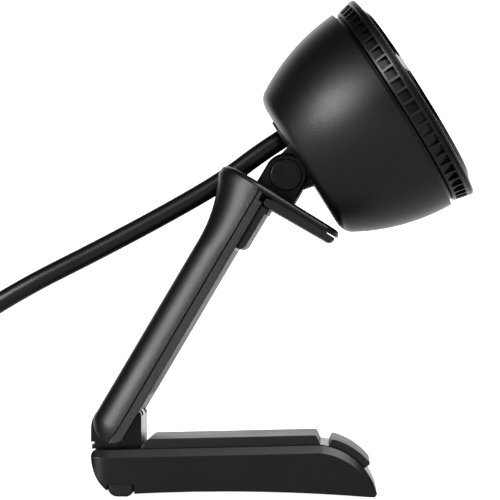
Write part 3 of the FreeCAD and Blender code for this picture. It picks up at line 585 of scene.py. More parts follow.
FINISHES = {
    # Black ABS from a finely spark-eroded mould: soft wide highlights with a slight sparkle.
    # The texture is drawn at 0.5 mm, coarser than the real 0.1 mm, so that it shows.
    "casing_plastic": Opaque(Grain(0.5, 0.03, "#0b0b0c", "#060607", (0.34, 0.4)), ior=1.54),
    # The stand's ABS from the same kind of mould: it matches the casing.
    "stand_plastic": Opaque(Grain(0.5, 0.03, "#0b0b0c", "#060607", (0.34, 0.4)), ior=1.54),
    # The same ABS from a smoother part of the mould.
    "dial_plastic": Opaque(Grain(0.35, 0.004, "#0a0a0b", "#060607", (0.32, 0.38)), ior=1.54),
    # Polished ABS: a mirror-like black with faint moulding waves.
    "gloss_black": Opaque(Grain(6.0, 0.004, "#0c0c0d", "#08080a", (0.06, 0.1)), ior=1.54, coat=0.6),
    # Powder-coated zinc casting: slight orange peel.
    "bracket_metal": Opaque(Grain(0.9, 0.012, "#090909", "#050506", (0.3, 0.36)), ior=1.5, coat=0.1),
    # Moulded silicone rubber: dull, slightly warm and dusty.
    "pad_rubber": Opaque(Grain(0.5, 0.01, "#141312", "#0d0c0c", (0.46, 0.56)), ior=1.5, sheen=0.04),
    # Extruded soft PVC: smooth with a long soft highlight and faint drawing marks.
    "lead_jacket": Opaque(Grain(1.2, 0.006, "#080809", "#050506", (0.32, 0.38)), ior=1.53),
    # Moulded rubber gland: even and dull, with a weak highlight.
    "gland_rubber": Opaque(Grain(0.6, 0.006, "#0b0b0c", "#060607", (0.4, 0.46)), ior=1.5),
    # Soft PVC moulded over the plug: satin, a shade lighter than the jacket.
    "grip_plastic": Opaque(Grain(0.5, 0.008, "#1a1a1b", "#101011", (0.4, 0.5)), ior=1.53),
    # Woven nylon strap: matt, with a crossing weave that catches light on its threads.
    "tie_fabric": Woven(),
    # Nickel-plated steel: fine rolling lines along one way.
    "plug_steel": Opaque(Grain(0.3, 0.003, "#c9c8c4", "#a3a29e", (0.2, 0.32), (0.1, 1.0, 1.0)), metallic=1.0),
    # White polyester contact holder: clean, satin and slightly warm.
    "contact_plastic": Opaque(Grain(0.8, 0.004, "#e9e8e2", "#dcdbd5", (0.4, 0.5)), ior=1.5),
    # Black-oxide steel screws and pins, turned.
    "screw_steel": Opaque(Grain(0.3, 0.004, "#6f6f72", "#4a4a4d", (0.3, 0.42)), metallic=1.0),
    # Nickel-plated magnet: bright, almost polished and slightly yellow.
    "magnet_nickel": Opaque(Grain(1.0, 0.002, "#d2cdc0", "#b3aea2", (0.14, 0.22)), metallic=1.0),
    # Pressed steel can: even grey metal with a satin shine.
    "can_steel": Opaque(Grain(0.4, 0.003, "#b4b4b4", "#8f8f90", (0.25, 0.36)), metallic=1.0),
    # Cast iron ballast: rough, dull, dark metal.
    "weight_iron": Opaque(Grain(0.8, 0.02, "#6a6a6a", "#474747", (0.45, 0.6)), metallic=0.9),
    # Extruded aluminium: pale metal with drawing lines along one way.
    "sink_aluminium": Opaque(Grain(0.3, 0.003, "#d6d7d9", "#b2b3b6", (0.3, 0.42), (0.2, 1.0, 1.0)),
                             metallic=1.0),
    # Turned brass: warm yellow metal with small sharp glints.
    "standoff_brass": Opaque(Grain(0.4, 0.003, "#d9b56a", "#b18d45", (0.22, 0.34)), metallic=1.0),
    # Enamelled copper wire, wound: squeezed lines that read as turns.
    "coil_copper": Opaque(Grain(0.25, 0.01, "#d0804a", "#9d5426", (0.25, 0.35), (8.0, 1.0, 1.0)),
                          metallic=1.0),
    # Circuit board: green solder mask over raised copper tracks.
    "board_laminate": Laminate(),
    # Epoxy chip package: flat, matt charcoal.
    "chip_epoxy": Opaque(Grain(0.4, 0.006, "#242425", "#19191a", (0.5, 0.6)), ior=1.55),
    # Natural nylon connector: cream and satin.
    "connector_nylon": Opaque(Grain(0.5, 0.006, "#e2ddcf", "#d2cdbf", (0.4, 0.5)), ior=1.53),
    # Dyed nylon washer: satin, lighter than the casing.
    "washer_nylon": Opaque(Grain(0.5, 0.004, "#3a3a3a", "#2c2c2c", (0.4, 0.5)), ior=1.53),
    # Blackened lens barrel: very matt, so that it swallows stray light.
    "barrel_black": Opaque(Grain(0.3, 0.01, "#111112", "#0a0a0b", (0.55, 0.7)), ior=1.5),
    # Cover glass over the sensor: grey and polished.
    "sensor_glass": Clear("#4a5560"),
    # Infrared-cut filter: pale cyan coated glass.
    "filter_glass": Clear("#a8e0e8"),
    # Coated optical glass: a faint blue tint and small bright reflections.
    "lens_glass": Clear("#dfeaf5", ior=1.62, coat=0.6),
    # Clear window glass: almost colourless.
    "window_glass": Clear("#f2f7f7"),
    # White polycarbonate reflector: bright and satin.
    "reflector_white": Opaque(Grain(0.8, 0.003, "#efefec", "#e2e2df", (0.25, 0.35)), ior=1.5),
    # Opal acrylic: light sinks in, so that it looks milky.
    "diffuser_opal": Opaque(Grain(0.6, 0.004, "#eeeeea", "#e3e3df", (0.35, 0.45)), ior=1.49, subsurface=0.35),
    # Phosphor-filled resin over the lamps: yellow and slightly see-through.
    "led_resin": Opaque(Grain(0.5, 0.002, "#e8cf4a", "#d8bd38", (0.15, 0.25)), ior=1.5, subsurface=0.2),
}
materials = {slot: finish.material(slot) for slot, finish in FINISHES.items()}


# ---- stage ----


@dataclass
class Stage:
    """Floor, light and camera."""

    aim: Vector
    distance: float = 0.7
    azimuth: float = 1.8
    elevation: float = -0.5
    lens: float = 188.0

    def build(self) -> None:
        """Set up the floor, the lights, the surroundings and the camera."""
        self.add_floor()
        self.add_surroundings()
        self.add_lamp("key", (-0.68, -0.70, 0.30), (0.44, 0.44), 7.0)
        self.add_lamp("overhead", (0.34, -0.5, 0.79), (0.7, 0.3), 6.0)
        self.add_lamp("fill", (0.35, -0.85, 0.5), (0.5, 0.5), 0.2)
        self.add_camera()

    @staticmethod
    def backdrop(tree: bpy.types.NodeTree, where: bpy.types.NodeSocket, sweep: dict,
                 easing: str) -> bpy.types.NodeSocket:
        """Brightness that grows with Y, and is never under 1 where it is looked at directly.

        Args:
            tree: The node tree.
            where: The place or the direction.
            sweep: The range of Y and the brightness at its ends.
            easing: How the brightness grows between them.

        Returns:
            The brightness.
        """
        depth = add_node(tree, "SeparateXYZ", {"Vector": where}).outputs["Y"]
        grown = add_node(tree, "MapRange", {"Value": depth} | sweep, interpolation_type=easing)
        rays = add_node(tree, "LightPath")
        return greater(tree, grown.outputs["Result"], rays.outputs["Is Camera Ray"])

    def add_floor(self) -> None:
        """A plain pale floor."""
        bm = bmesh.new()
        bmesh.ops.create_grid(bm, x_segments=1, y_segments=1, size=8)
        mesh = as_mesh(bm, "studio_floor")
        material, tree = blank_material("pale_floor")
        sweep = self.backdrop(tree, surface_place(tree), {
            "From Min": 0.0, "From Max": 0.3, "To Min": 0.02, "To Max": 1.4}, "LINEAR")
        add_shader(tree, {"Base Color": to_linear("#b8b8b8"), "Roughness": 0.9, "Specular IOR Level": 0.0,
                          "Emission Color": (1, 1, 1, 1), "Emission Strength": sweep})
        mesh.materials.append(material)
        placed("studio_floor", mesh)

    def add_surroundings(self) -> None:
        """White behind the object, and a dim room on the camera's side so that black stays black."""
        world = bpy.data.worlds.new("studio")
        world.use_nodes = True
        tree = world.node_tree
        tree.nodes.clear()
        way = add_node(tree, "TexCoord").outputs["Generated"]
        room = self.backdrop(tree, way, {
            "From Min": 0.6, "From Max": 0.97, "To Min": 0.01, "To Max": 1.8}, "SMOOTHSTEP")
        sky = add_node(tree, "Background", {"Color": (1, 1, 1, 1), "Strength": room})
        add_node(tree, "OutputWorld", {"Surface": sky.outputs["Background"]})
        bpy.context.scene.world = world
        bpy.context.scene.view_settings.view_transform = "Standard"

    def add_lamp(self, name: str, place: Corner, size: Corner, power: float) -> None:
        """Hang a soft box that faces the object.

        Args:
            name: The lamp's name.
            place: Where it hangs, in metres from the point the camera looks at.
            size: Its width and height in metres.
            power: Its power in watts.
        """
        lamp = bpy.data.lights.new(name, "AREA")
        lamp.shape = "RECTANGLE"
        lamp.size, lamp.size_y = size
        lamp.energy = power
        item = placed(name, lamp)
        item.location = self.aim + Vector(place)
        item.rotation_euler = (-Vector(place)).to_track_quat("-Z", "Y").to_euler()

    def add_camera(self) -> None:
        """Stand the camera level with the leg's middle, a little to the right of square on."""
        turn, lift = math.radians(self.azimuth), math.radians(self.elevation)
        back = Vector((math.sin(turn) * math.cos(lift), -math.cos(turn) * math.cos(lift), math.sin(lift)))
        camera = bpy.data.cameras.new("camera")
        camera.lens = self.lens
        camera.sensor_width = 36
        item = placed("camera", camera)
        item.location = self.aim + back * self.distance
        item.rotation_euler = (-back).to_track_quat("-Z", "Y").to_euler()
        bpy.context.scene.camera = item


# ---- lead ----


@dataclass
class Lead:
    """The USB lead: from the casing over the arm to the floor, a tied coil, and its plug."""

    diameter: float = 5.3
    outer_ring: float = 35.3
    rings_across: int = 4
    turns: float = 7.5
    bulge: float = 0.3
    per_turn: int = 24
    coil_centre: float = -160.0
    crossing: float = 0.2
    tie_width: float = 9.0
    grip: Corner = (26.0, 12.6, 7.2)
    shell: Corner = (18.7, 12.0, 4.5)

    # The route from the casing to the coil, and from the coil to the plug, in metres.
    route = ((-0.000199, 0, 0.094538), (-0.00566, 0, 0.091118), (-0.0155, 0, 0.0836), (-0.0305, 0, 0.0749),
             (-0.0495, 0, 0.0648), (-0.0705, 0, 0.0543), (-0.088, 0.0025, 0.0433), (-0.102, 0.008, 0.0298),
             (-0.113, 0.0155, 0.0166), (-0.1225, 0.0235, 0.0064), (-0.134, 0.0308, 0.0028),
             (-0.149, 0.0352, 0.00265))
    tail = ((-0.149, -0.0367, 0.0072), (-0.140, -0.0369, 0.0044), (-0.132, -0.0334, 0.00285),
            (-0.1235, -0.0286, 0.0037))

    def build(self) -> None:
        """Make the lead, its tie and its plug."""
        self.add_lead([self.add_tie(), *self.add_plug()])

    def coil_points(self) -> list[Vector]:
        """The coil's turns: rings on the floor, wound inwards, and as many on them, wound outwards."""
        low = self.diameter / 2
        radii = [self.outer_ring - self.diameter * number for number in range(self.rings_across)]
        rings = [(radius, low) for radius in radii] + [(radius, 3 * low) for radius in reversed(radii)]
        points = []
        for number in range(int(self.turns * self.per_turn) + 1):
            ring, part = divmod(number / self.per_turn, 1)
            here = rings[int(ring)]
            there = rings[min(int(ring) + 1, len(rings) - 1)]
            share = max(0.0, (part - 1 + self.crossing) / self.crossing)
            share = share * share * (3 - 2 * share)
            climb = there[1] - here[1]
            radius = here[0] + (there[0] - here[0]) * share
            radius -= self.bulge * climb * math.sin(math.pi * share)
            angle = math.pi / 2 + 2 * math.pi * number / self.per_turn
            points.append(Vector((self.coil_centre + radius * math.cos(angle), radius * math.sin(angle),
                                  here[1] + climb * share)) * MM)
        return points

    def add_lead(self, with_pieces: list[bpy.types.Object]) -> None:
        """Draw the lead's whole line as one spline and give it its jacket.

        Args:
            with_pieces: The pieces that are on the lead. Not used.
        """
        points = [*map(Vector, self.route), *self.coil_points(), *map(Vector, self.tail)]
        line = bpy.data.curves.new("usb_lead", "CURVE")
        line.dimensions = "3D"
        line.resolution_u = 6
        spline = line.splines.new("NURBS")
        spline.points.add(len(points) - 1)
        for point, place in zip(spline.points, points):
            point.co = (*place, 1)
        spline.order_u = 3
        spline.use_endpoint_u = True
        drawn = placed("usb_lead_line", line)
        bpy.context.view_layer.update()
        middle = bpy.data.meshes.new_from_object(drawn)
        line.bevel_depth = self.diameter / 2 * MM
        line.bevel_resolution = 5
        line.use_fill_caps = True
        bpy.context.view_layer.update()
        jacket = bpy.data.meshes.new_from_object(drawn.evaluated_get(bpy.context.evaluated_depsgraph_get()))
        bpy.data.objects.remove(drawn)
        bm = bmesh.new()
        bm.from_mesh(jacket)
        bmesh.ops.remove_doubles(bm, verts=bm.verts, dist=1e-6)
        bmesh.ops.recalc_face_normals(bm, faces=bm.faces)
        bm.to_mesh(jacket)
        bm.free()
        jacket.materials.clear()
        jacket.materials.append(materials["lead_jacket"])
        jacket.shade_smooth()
        lead = placed("usb_lead", jacket)
        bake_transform(lead)
        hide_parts("cord_lead", "cord_coil", "cord_tail")

    def add_tie(self) -> bpy.types.Object:
        """The strap round the coil, with its loose end folded back."""
        low = self.coil_centre - self.outer_ring - self.diameter / 2
        high = low + self.rings_across * self.diameter
        top = 2 * self.diameter
        strap = slab([
            (low + 1.5, 0.05), (high - 1.5, 0.05), (high + 0.4, 0.5, high + 0.8, 2.4),
            (high + 0.8, top - 1.6), (high + 0.4, top + 0.3, high - 1.5, top + 0.8), (low + 1.5, top + 0.8),
            (low - 0.4, top + 0.3, low - 0.8, top - 1.6), (low - 0.8, 2.4),
            (low - 0.4, 0.5, low + 1.5, 0.05)], self.tie_width)
        opening = slab([
            (low + 1.6, 0.75), (high - 1.6, 0.75), (high - 0.1, 1.0, high + 0.1, 2.5),
            (high + 0.1, top - 1.7), (high - 0.1, top - 0.1, high - 1.6, top + 0.1), (low + 1.6, top + 0.1),
            (low + 0.1, top - 0.1, low - 0.1, top - 1.7), (low - 0.1, 2.5),
            (low + 0.1, 1.0, low + 1.6, 0.75)], self.tie_width + 4)
        strap = joined(strap, opening)
        flap_half = (self.tie_width - 1) / 2
        flap = brick((low + 3, -flap_half, top + 0.7), (high - 3, flap_half, top + 1.3))
        soften(flap, flap.edges[:], 0.2, 2)
        return finished("lead_tie", merged(strap, flap), Body.ARM, "tie_fabric", "coil_tie",
                        place=places.world)

    def add_plug(self) -> list[bpy.types.Object]:
        """The moulded grip, the steel shell and the tongue inside it.

        Returns:
            The two pieces made here and the CAD tongue.
        """
        length, width, height = self.grip
        grip = brick((-length / 2, -width / 2, -height / 2), (length / 2, width / 2, height / 2))
        soften(grip, grip.edges[:], 1.5, 4)
        for number in range(4):
            x = -length / 2 + 3.5 + 2.2 * number
            ring = joined(brick((x, -width, -height), (x + 1.0, width, height)),
                          brick((x - 1, -width / 2 + 0.5, -height / 2 + 0.5),
                                (x + 2, width / 2 - 0.5, height / 2 - 0.5)))
            grip = joined(grip, ring)
        boot = finished("plug_grip", grip, Body.ARM, "grip_plastic", "usb_grip", place=places.plug)
        reach, wide, tall = self.shell
        start = length / 2
        shell = brick((start - 0.5, -wide / 2, -tall / 2), (start + reach, wide / 2, tall / 2))
        lengthwise = [edge for edge in shell.edges if abs(edge.verts[0].co.x - edge.verts[1].co.x) > 5]
        soften(shell, lengthwise, 0.5, 3)
        gauge = 0.35
        hollow = brick((start + 1, -wide / 2 + gauge, -tall / 2 + gauge),
                       (start + reach + 2, wide / 2 - gauge, tall / 2 - gauge))
        windows = [brick((start + 9, y - 1.2, tall / 2 - 1), (start + 11.5, y + 1.2, tall))
                   for y in (2.9, -2.9)]
        shell = joined(shell, hollow, *windows)
        metal = finished("plug_shell", shell, Body.ARM, "plug_steel", "usb_shell", place=places.plug)
        return [boot, metal, frame["nodes"]["usb_tongue"]]


# ---- head ----


@dataclass
class Casing:
    """The bowl, its tongue and the collar of the lead. Lengths lie along the lens axis from the tilt axis."""

    back: float = 4.8
    rim: float = 33.2
    rim_radius: float = 30.0
    back_radius: float = 18.75
    wall: float = 1.4
    tongue: float = 8.0
    tongue_radius: float = 5.1
    tongue_height: float = 6.3
    lead_height: float = 9.0
    lead_radius: float = 2.65
    collar_radius: float = 5.2
    collar_proud: float = 0.6

    def build(self) -> None:
        """Make the casing's pieces."""
        self.add_bowl()
        self.add_tongue()
        self.add_collar()

    def add_bowl(self) -> None:
        """The bowl, with the shallow recess that the two ears reach into."""
        bowl = turned([
            (self.back, 0), (self.back, self.back_radius - 0.4), (self.back, self.back_radius),
            (self.back + 0.12, self.back_radius + 0.25),
            (self.back + 0.75, self.back_radius + 2.0, self.back + 1.9, self.back_radius + 3.25),
            (18.5, 27.35, self.rim - 0.2, self.rim_radius - 0.03),
            (self.rim - 0.05, self.rim_radius - 0.06, self.rim, self.rim_radius - 0.2),
            (self.rim, self.rim_radius - self.wall), (self.rim - 3, self.rim_radius - self.wall),
            (self.rim - 3, 27.9), (18.5, 25.4, self.back + 3, self.back_radius + 0.5), (self.back + 3, 0)],
            closed=False, steps=180)
        bowl = joined(bowl, brick((self.back - 1, -7.6, -4.4), (self.back + 1.5, 7.6, 4.4)))
        finished("bowl_casing", bowl, Body.HEAD, "casing_plastic", "rear_shell")

    def add_tongue(self) -> None:
        """The tongue that the head tilts on, round about the pin and blended into the bowl's back."""
        reach = math.hypot(self.back, self.tongue_height)
        angle = math.acos(self.tongue_radius / reach) + math.atan2(self.tongue_height, self.back)
        touch = (self.tongue_radius * math.cos(angle), self.tongue_radius * math.sin(angle))
        tongue = slab([(self.back + 2, -self.tongue_height), (self.back + 2, self.tongue_height),
                       (self.back, self.tongue_height), touch,
                       (-self.tongue_radius, 0, touch[0], -touch[1]), (self.back, -self.tongue_height)],
                      self.tongue, step=0.4)
        soften(tongue, at_sides(tongue, self.tongue / 2), 0.4, 2)
        tongue = joined(tongue, cylinder(2.02, 20, (0, 0, 0)))
        finished("tilt_tongue", tongue, Body.HEAD, "casing_plastic", "tilt_neck")

    def add_collar(self) -> None:
        """The low rubber collar round the lead."""
        edge = self.back - self.collar_proud
        collar = turned([
            (self.back + 3, self.lead_radius + 0.02), (edge + 0.15, self.lead_radius + 0.02),
            (edge, self.lead_radius + 0.2), (edge, self.collar_radius - 0.35),
            (edge + 0.1, self.collar_radius - 0.1, edge + 0.35, self.collar_radius),
            (self.back + 0.1, self.collar_radius), (self.back + 0.1, self.lead_radius + 0.9),
            (self.back + 3, self.lead_radius + 0.9)], steps=64, step=0.15)
        collar = slanted(collar, Matrix.Translation((0, 0, self.lead_height)))
        collar = joined(collar, brick((0, -6, 0), (self.back, 6, self.tongue_height + 0.15)))
        finished("lead_collar", collar, Body.HEAD, "gland_rubber", "cord_grommet")


@dataclass
class Dial:
    """The ring that turns round the light, with its finger pockets."""

    back: float = 34.3
    front: float = 40.1
    bore: float = 26.05
    back_radius: float = 29.4
    rim_radius: float = 30.5
    pockets: int = 54
    rib: float = 0.32
    shallow: float = 0.12
    deep: float = 1.5

    def build(self) -> None:
        """Turn the ring, then push its pockets in, deeper towards the front."""
        band = self.front - 1.75
        ring = turned([
            (self.back, self.bore), (self.back, self.back_radius - 0.25),
            (self.back + 0.25, self.back_radius),
            (self.back + 0.45, self.back_radius + 0.03), (band, self.rim_radius - 0.25),
            (band + 0.2, self.rim_radius - 0.02), (band + 0.45, self.rim_radius),
            (band + 0.6, self.rim_radius - 0.14), (band + 0.75, self.rim_radius),
            (band + 0.9, self.rim_radius - 0.14), (band + 1.05, self.rim_radius),
            (band + 1.3, self.rim_radius - 0.02), (self.front - 0.1, self.rim_radius - 0.3),
            (self.front, self.rim_radius - 0.9), (self.front, 27.6), (self.front - 0.5, 27.5),
            (self.front - 1.0, 27.5), (self.front - 1.0, self.bore)], steps=self.pockets)
        outer = [face for face in ring.faces if self.in_band(face, band)]
        bmesh.ops.inset_individual(ring, faces=outer, thickness=self.rib, depth=0, use_even_offset=True)
        made = bmesh.ops.extrude_discrete_faces(ring, faces=outer)["faces"]
        length = band - self.back - 0.45
        for vert in {vert for face in made for vert in face.verts}:
            share = (vert.co.x - self.back - 0.45) / length
            spoke = Vector((0, vert.co.y, vert.co.z)).normalized()
            vert.co -= spoke * (self.shallow + (self.deep - self.shallow) * share)
        bmesh.ops.recalc_face_normals(ring, faces=ring.faces)
        finished("grip_dial", ring, Body.DIAL, "dial_plastic", "dial_ring", sharp=14)

    def in_band(self, face: BMFace, band: float) -> bool:
        """Whether a face is one of the wide outer ones between the ring's edges."""
        middle = face.calc_center_median()
        return (self.back + 0.5 < middle.x < band - 0.5
                and math.hypot(middle.y, middle.z) > self.back_radius - 0.5)


@dataclass
class Front:
    """Everything inside the dial: trim ring, opal light ring, bezel, window and lens."""

    journal: float = 39.4
    bezel_radius: float = 12.3
    trim_inner: float = 23.4
    trim_outer: float = 27.2
    crown: float = 2.0
    light_back: float = 37.5

    def build(self) -> None:
        """Make the front's pieces."""
        self.add_trim()
        self.add_light()
        self.add_bezel()
        self.add_lens()

    def add_trim(self) -> None:
        """The polished ring between the dial and the light."""
        front = self.journal + self.crown
        ridges: list[Corner] = []
        for number in range(3):
            start = self.trim_inner + 2.0 + 0.6 * number
            ridges += [(front - 0.3 * number, start), (front - 0.3 * number - 0.05, start + 0.42),
                       (front - 0.3 * number - 0.25, start + 0.5)]
        trim = turned([
            (self.journal, self.trim_inner + 0.2), (self.journal + 0.3, self.trim_inner),
            (front - 0.3, self.trim_inner + 0.5, front, self.trim_inner + 1.4), *ridges,
            (self.journal + 0.9, self.trim_outer - 0.05, self.journal + 0.5, self.trim_outer),
            (self.journal, self.trim_outer)], step=0.3)
        finished("front_trim", trim, Body.HEAD, "gloss_black", "front_trim_ring")

    def add_light(self) -> None:
        """The opal ring, crowned, with a shallow groove along each edge."""
        inner, outer = self.bezel_radius + 0.12, 24.45
        light = turned([
            (0, inner), (1.45, inner), (1.6, inner + 0.15), (1.6, inner + 0.5), (1.5, inner + 0.7),
            (1.75, inner + 1.2), (2.1, 18.4, 1.75, outer - 1.2), (1.5, outer - 0.7), (1.6, outer - 0.5),
            (1.6, outer - 0.15), (1.45, outer), (0, outer)])
        slanted(light, Matrix.Translation((self.light_back, 0, 0)))
        finished("light_ring", light, Body.HEAD, "diffuser_opal", "light_diffuser")

    def add_bezel(self) -> None:
        """The polished bezel and the glass in it, with a black ring just behind the glass."""
        bezel = turned([
            (32.2, 11.2), (34.2, 11.2), (34.2, 9.4), (38.8, 9.4), (38.8, 10.6), (39.7, 10.65),
            (39.95, 10.8, 40.0, 11.1), (39.98, 11.8, 39.4, self.bezel_radius),
            (32.2, self.bezel_radius)], step=0.2)
        finished("lens_surround", bezel, Body.HEAD, "gloss_black", "lens_bezel")
        glass = turned([(38.82, 0), (38.82, 10.55), (39.5, 10.55), (39.6, 10.42), (39.6, 0)], closed=False)
        finished("front_glass", glass, Body.HEAD, "window_glass", "lens_window")
        mask = turned([(38.5, 5.7), (38.5, 10.5), (38.78, 10.5), (38.78, 5.7)])
        finished("glass_mask", mask, Body.HEAD, "gloss_black")

    def add_lens(self) -> None:
        """The barrel with its baffle rings, and its three glass elements."""
        baffles: list[Corner] = [(28.0, 3.6), (28.0, 5.85), (36.0, 5.85), (36.2, 5.6), (36.2, 5.35)]
        for number in range(3):
            mouth, ridge = 36.0 - 0.16 * number, 5.25 - 0.1 * number
            baffles += [(mouth, ridge), (mouth - 0.05, ridge - 0.15)]
        barrel = turned([*baffles, (35.4, 4.95), (31.2, 4.95), (31.2, 3.6)], steps=96)
        finished("barrel_shell", barrel, Body.LENS, "barrel_black", "lens_barrel")
        crowns = ((28.2, 3.6, 28.6, 30.4, 30.9), (31.4, 4.9, 31.9, 32.4, 32.9), (33.3, 4.9, 33.9, 34.4, 35.3))
        solids = []
        for near, radius, near_edge, far_edge, far in crowns:
            near_via = (near + 0.27 * (near_edge - near), radius * 0.5)
            far_via = (far - 0.27 * (far - far_edge), radius * 0.5)
            outline = [(near, 0), (*near_via, near_edge, radius), (far_edge, radius), (*far_via, far, 0)]
            solids.append(turned(outline, closed=False, steps=72, step=0.5))
        finished("glass_elements", merged(*solids), Body.LENS, "lens_glass", "lens_elements")


# ---- arm ----


@dataclass
class Arm:
    """The leg and top plate, the inner cover, the rubber pads and the tilt hinge. Z runs along the leg."""

    half: float = 17.0
    outer: float = -7.1
    inner: float = 2.7
    seam: float = 0.1
    heel_x: float = -1.9
    heel_z: float = 0.6
    heel_radius: float = 5.2
    flare_start: float = 52.7
    flare_end: float = 71.6
    flare_outer: float = -11.6
    plate_under: float = 72.95
    plate_top: float = 74.9
    plate_tip: float = 24.3
    tip_drop: float = 0.5
    first_turn: float = 0.21
    round_width: float = 6.2
    flare_width: float = 5.0
    fork_half: float = 11.3
    fork_radius: float = 7.7
    slot_half: float = 3.8
    draft: float = 0.011
    strip_half: float = 15.5
    strip_low: float = 12.0
    strip_high: float = 56.0
    corner_half: float = 16.2
    under_half: float = 16.5
    web_half: float = 13.5
    pivot: Corner = (4.0, 80.3)
    ear_radius: float = 5.8
    ear_inner: float = 4.4
    ear_outer: float = 7.0

    def build(self) -> None:
        """Make the arm's pieces."""
        self.add_leg()
        self.add_cover()
        self.add_pads()
        self.add_ears()

    def flare_share(self, z: float) -> float:
        """How far the flare has opened at a height along the leg, from 0 to 1."""
        return min(1.0, max(0.0, (z - self.flare_start) / (self.flare_end - self.flare_start)))

    def outer_at(self, z: float) -> float:
        """Where the leg's outer face stands at a height along the leg."""
        if z < self.heel_z:
            return self.heel_x - math.sqrt(max(0.0, self.heel_radius ** 2 - (z - self.heel_z) ** 2))
        return self.outer + (self.flare_outer - self.outer) * self.flare_share(z) ** 2.1

    def section(self, z: float) -> list[Corner]:
        """Outline of the leg across its length, from one side of the seam round to the other.

        Args:
            z: Place along the leg.

        Returns:
            The outline's points.
        """
        outer = self.outer_at(z)
        deep = (self.seam - outer) / (1 - math.sin(self.first_turn))
        wide = self.round_width + self.flare_width * self.flare_share(z)
        wide *= min(1.0, (self.seam - outer) / (self.seam - self.outer)) ** 0.6
        half = self.half - 1.2 * max(0.0, (self.heel_z - z) / self.heel_radius) ** 2
        turns = [self.first_turn + (math.pi / 2 - self.first_turn) * number / 14 for number in range(15)]
        side = [(outer + deep * (1 - math.sin(turn)),
                 half - wide * (math.cos(self.first_turn) - math.cos(turn))) for turn in turns]
        return [(x, y, z) for x, y in side] + [(x, -y, z) for x, y in reversed(side)]

    def add_leg(self) -> None:
        """The outer moulding: a rounded section drawn up the leg, with the plate on top."""
        down = [self.heel_z - self.heel_radius * math.sin(math.radians(angle)) for angle in
                (66, 60, 52, 44, 35, 25, 15, 7)]
        flare = self.flare_end - self.flare_start
        up = [self.heel_z, 12, 26, 40, *(self.flare_start + flare * number / 12 for number in range(13)),
              self.plate_under + 0.6]
        leg = lofted([self.section(z) for z in (*down, *up)])
        leg = joined(leg, self.plate(), operation="UNION")
        leg = joined(leg, self.fork(), self.lead_slot(), self.crease())
        finished("leg_moulding", leg, Body.ARM, "stand_plastic", "arm_shell", sharp=28)

    def crease(self) -> BMesh:
        """The fine grooves where the flare meets the plate, one at each side."""
        depth = 0.14
        bottom, top = self.plate_under - depth, self.plate_under + 0.02
        sides = ((-self.half - 1, depth - self.half), (self.half - depth, self.half + 1))
        return merged(*(brick((-5.6, low, bottom), (self.seam + 0.3, high, top)) for low, high in sides))

    def plate(self) -> BMesh:
        """The top plate, seen from above as the leg's section stretched out to the tip."""
        plate = bmesh.new()
        rear = [(x, y) for x, y, _ in self.section(self.plate_under) if x < self.seam]
        tip = trace([(self.plate_tip - 4, -self.half),
                     (self.plate_tip - 1.17, -self.half + 1.17, self.plate_tip, -self.half + 4),
                     (self.plate_tip, self.half - 4),
                     (self.plate_tip - 1.17, self.half - 1.17, self.plate_tip - 4, self.half)])
        outline = [plate.verts.new((x, y, self.plate_under)) for x, y in rear + tip]
        face = plate.faces.new(outline)
        made = bmesh.ops.extrude_face_region(plate, geom=[face])["geom"]
        raised = [item for item in made if isinstance(item, BMVert)]
        for vert in raised:
            fall = self.tip_drop * max(0.0, (vert.co.x + 1.1) / self.plate_tip)
            rear_fall = 0.5 * max(0.0, (-7.5 - vert.co.x) / 4.1) ** 2
            vert.co.z = self.plate_top - fall - rear_fall
        bmesh.ops.recalc_face_normals(plate, faces=plate.faces)
        top = [edge for edge in plate.edges if all(vert in raised for vert in edge.verts)]
        soften(plate, top, 1.5, 5)
        return plate

    def fork(self) -> BMesh:
        """The round opening about the fold axis that the knuckle turns in."""
        return cylinder(self.fork_radius, 2 * self.fork_half, (0, 0, 0))

    def lead_slot(self) -> BMesh:
        """The opening in the rear top corner that the lead runs through."""
        return slab([(-9.4, 62), (-2.6, 75.2), (-2.6, 80), (-20, 80), (-20, 62)], 2 * self.slot_half)

    def heel_at(self, x: float) -> float:
        """Height of the rounded heel below a place across the leg."""
        return self.heel_z - math.sqrt(self.heel_radius ** 2 - (x - self.heel_x) ** 2)

    def add_cover(self) -> None:
        """The inner cover, with the shallow bed of its rubber strip."""
        cover = slab([
            (self.seam + 0.05, self.plate_under), (self.seam + 0.05, self.heel_at(self.seam)),
            (1.6, self.heel_at(1.6), self.inner, self.heel_at(self.inner)),
            (self.inner, self.plate_under - 2.2), (self.inner - 1.2, self.plate_under - 2.2),
            (self.inner - 1.2, self.plate_under)],
            2 * self.half, step=0.5)
        soften(cover, at_sides(cover, self.half), 0.16, 2)
        for vert in cover.verts:
            vert.co.y *= 1 - self.draft * max(0.0, self.inner - vert.co.x)
        gap = 0.05
        bed = brick((self.inner - 0.7, -self.strip_half - gap, self.strip_low - gap),
                    (self.inner + 1, self.strip_half + gap, self.strip_high + gap))
        cover = joined(cover, bed, self.fork())
        finished("leg_cover", cover, Body.ARM, "stand_plastic", "arm_cover")

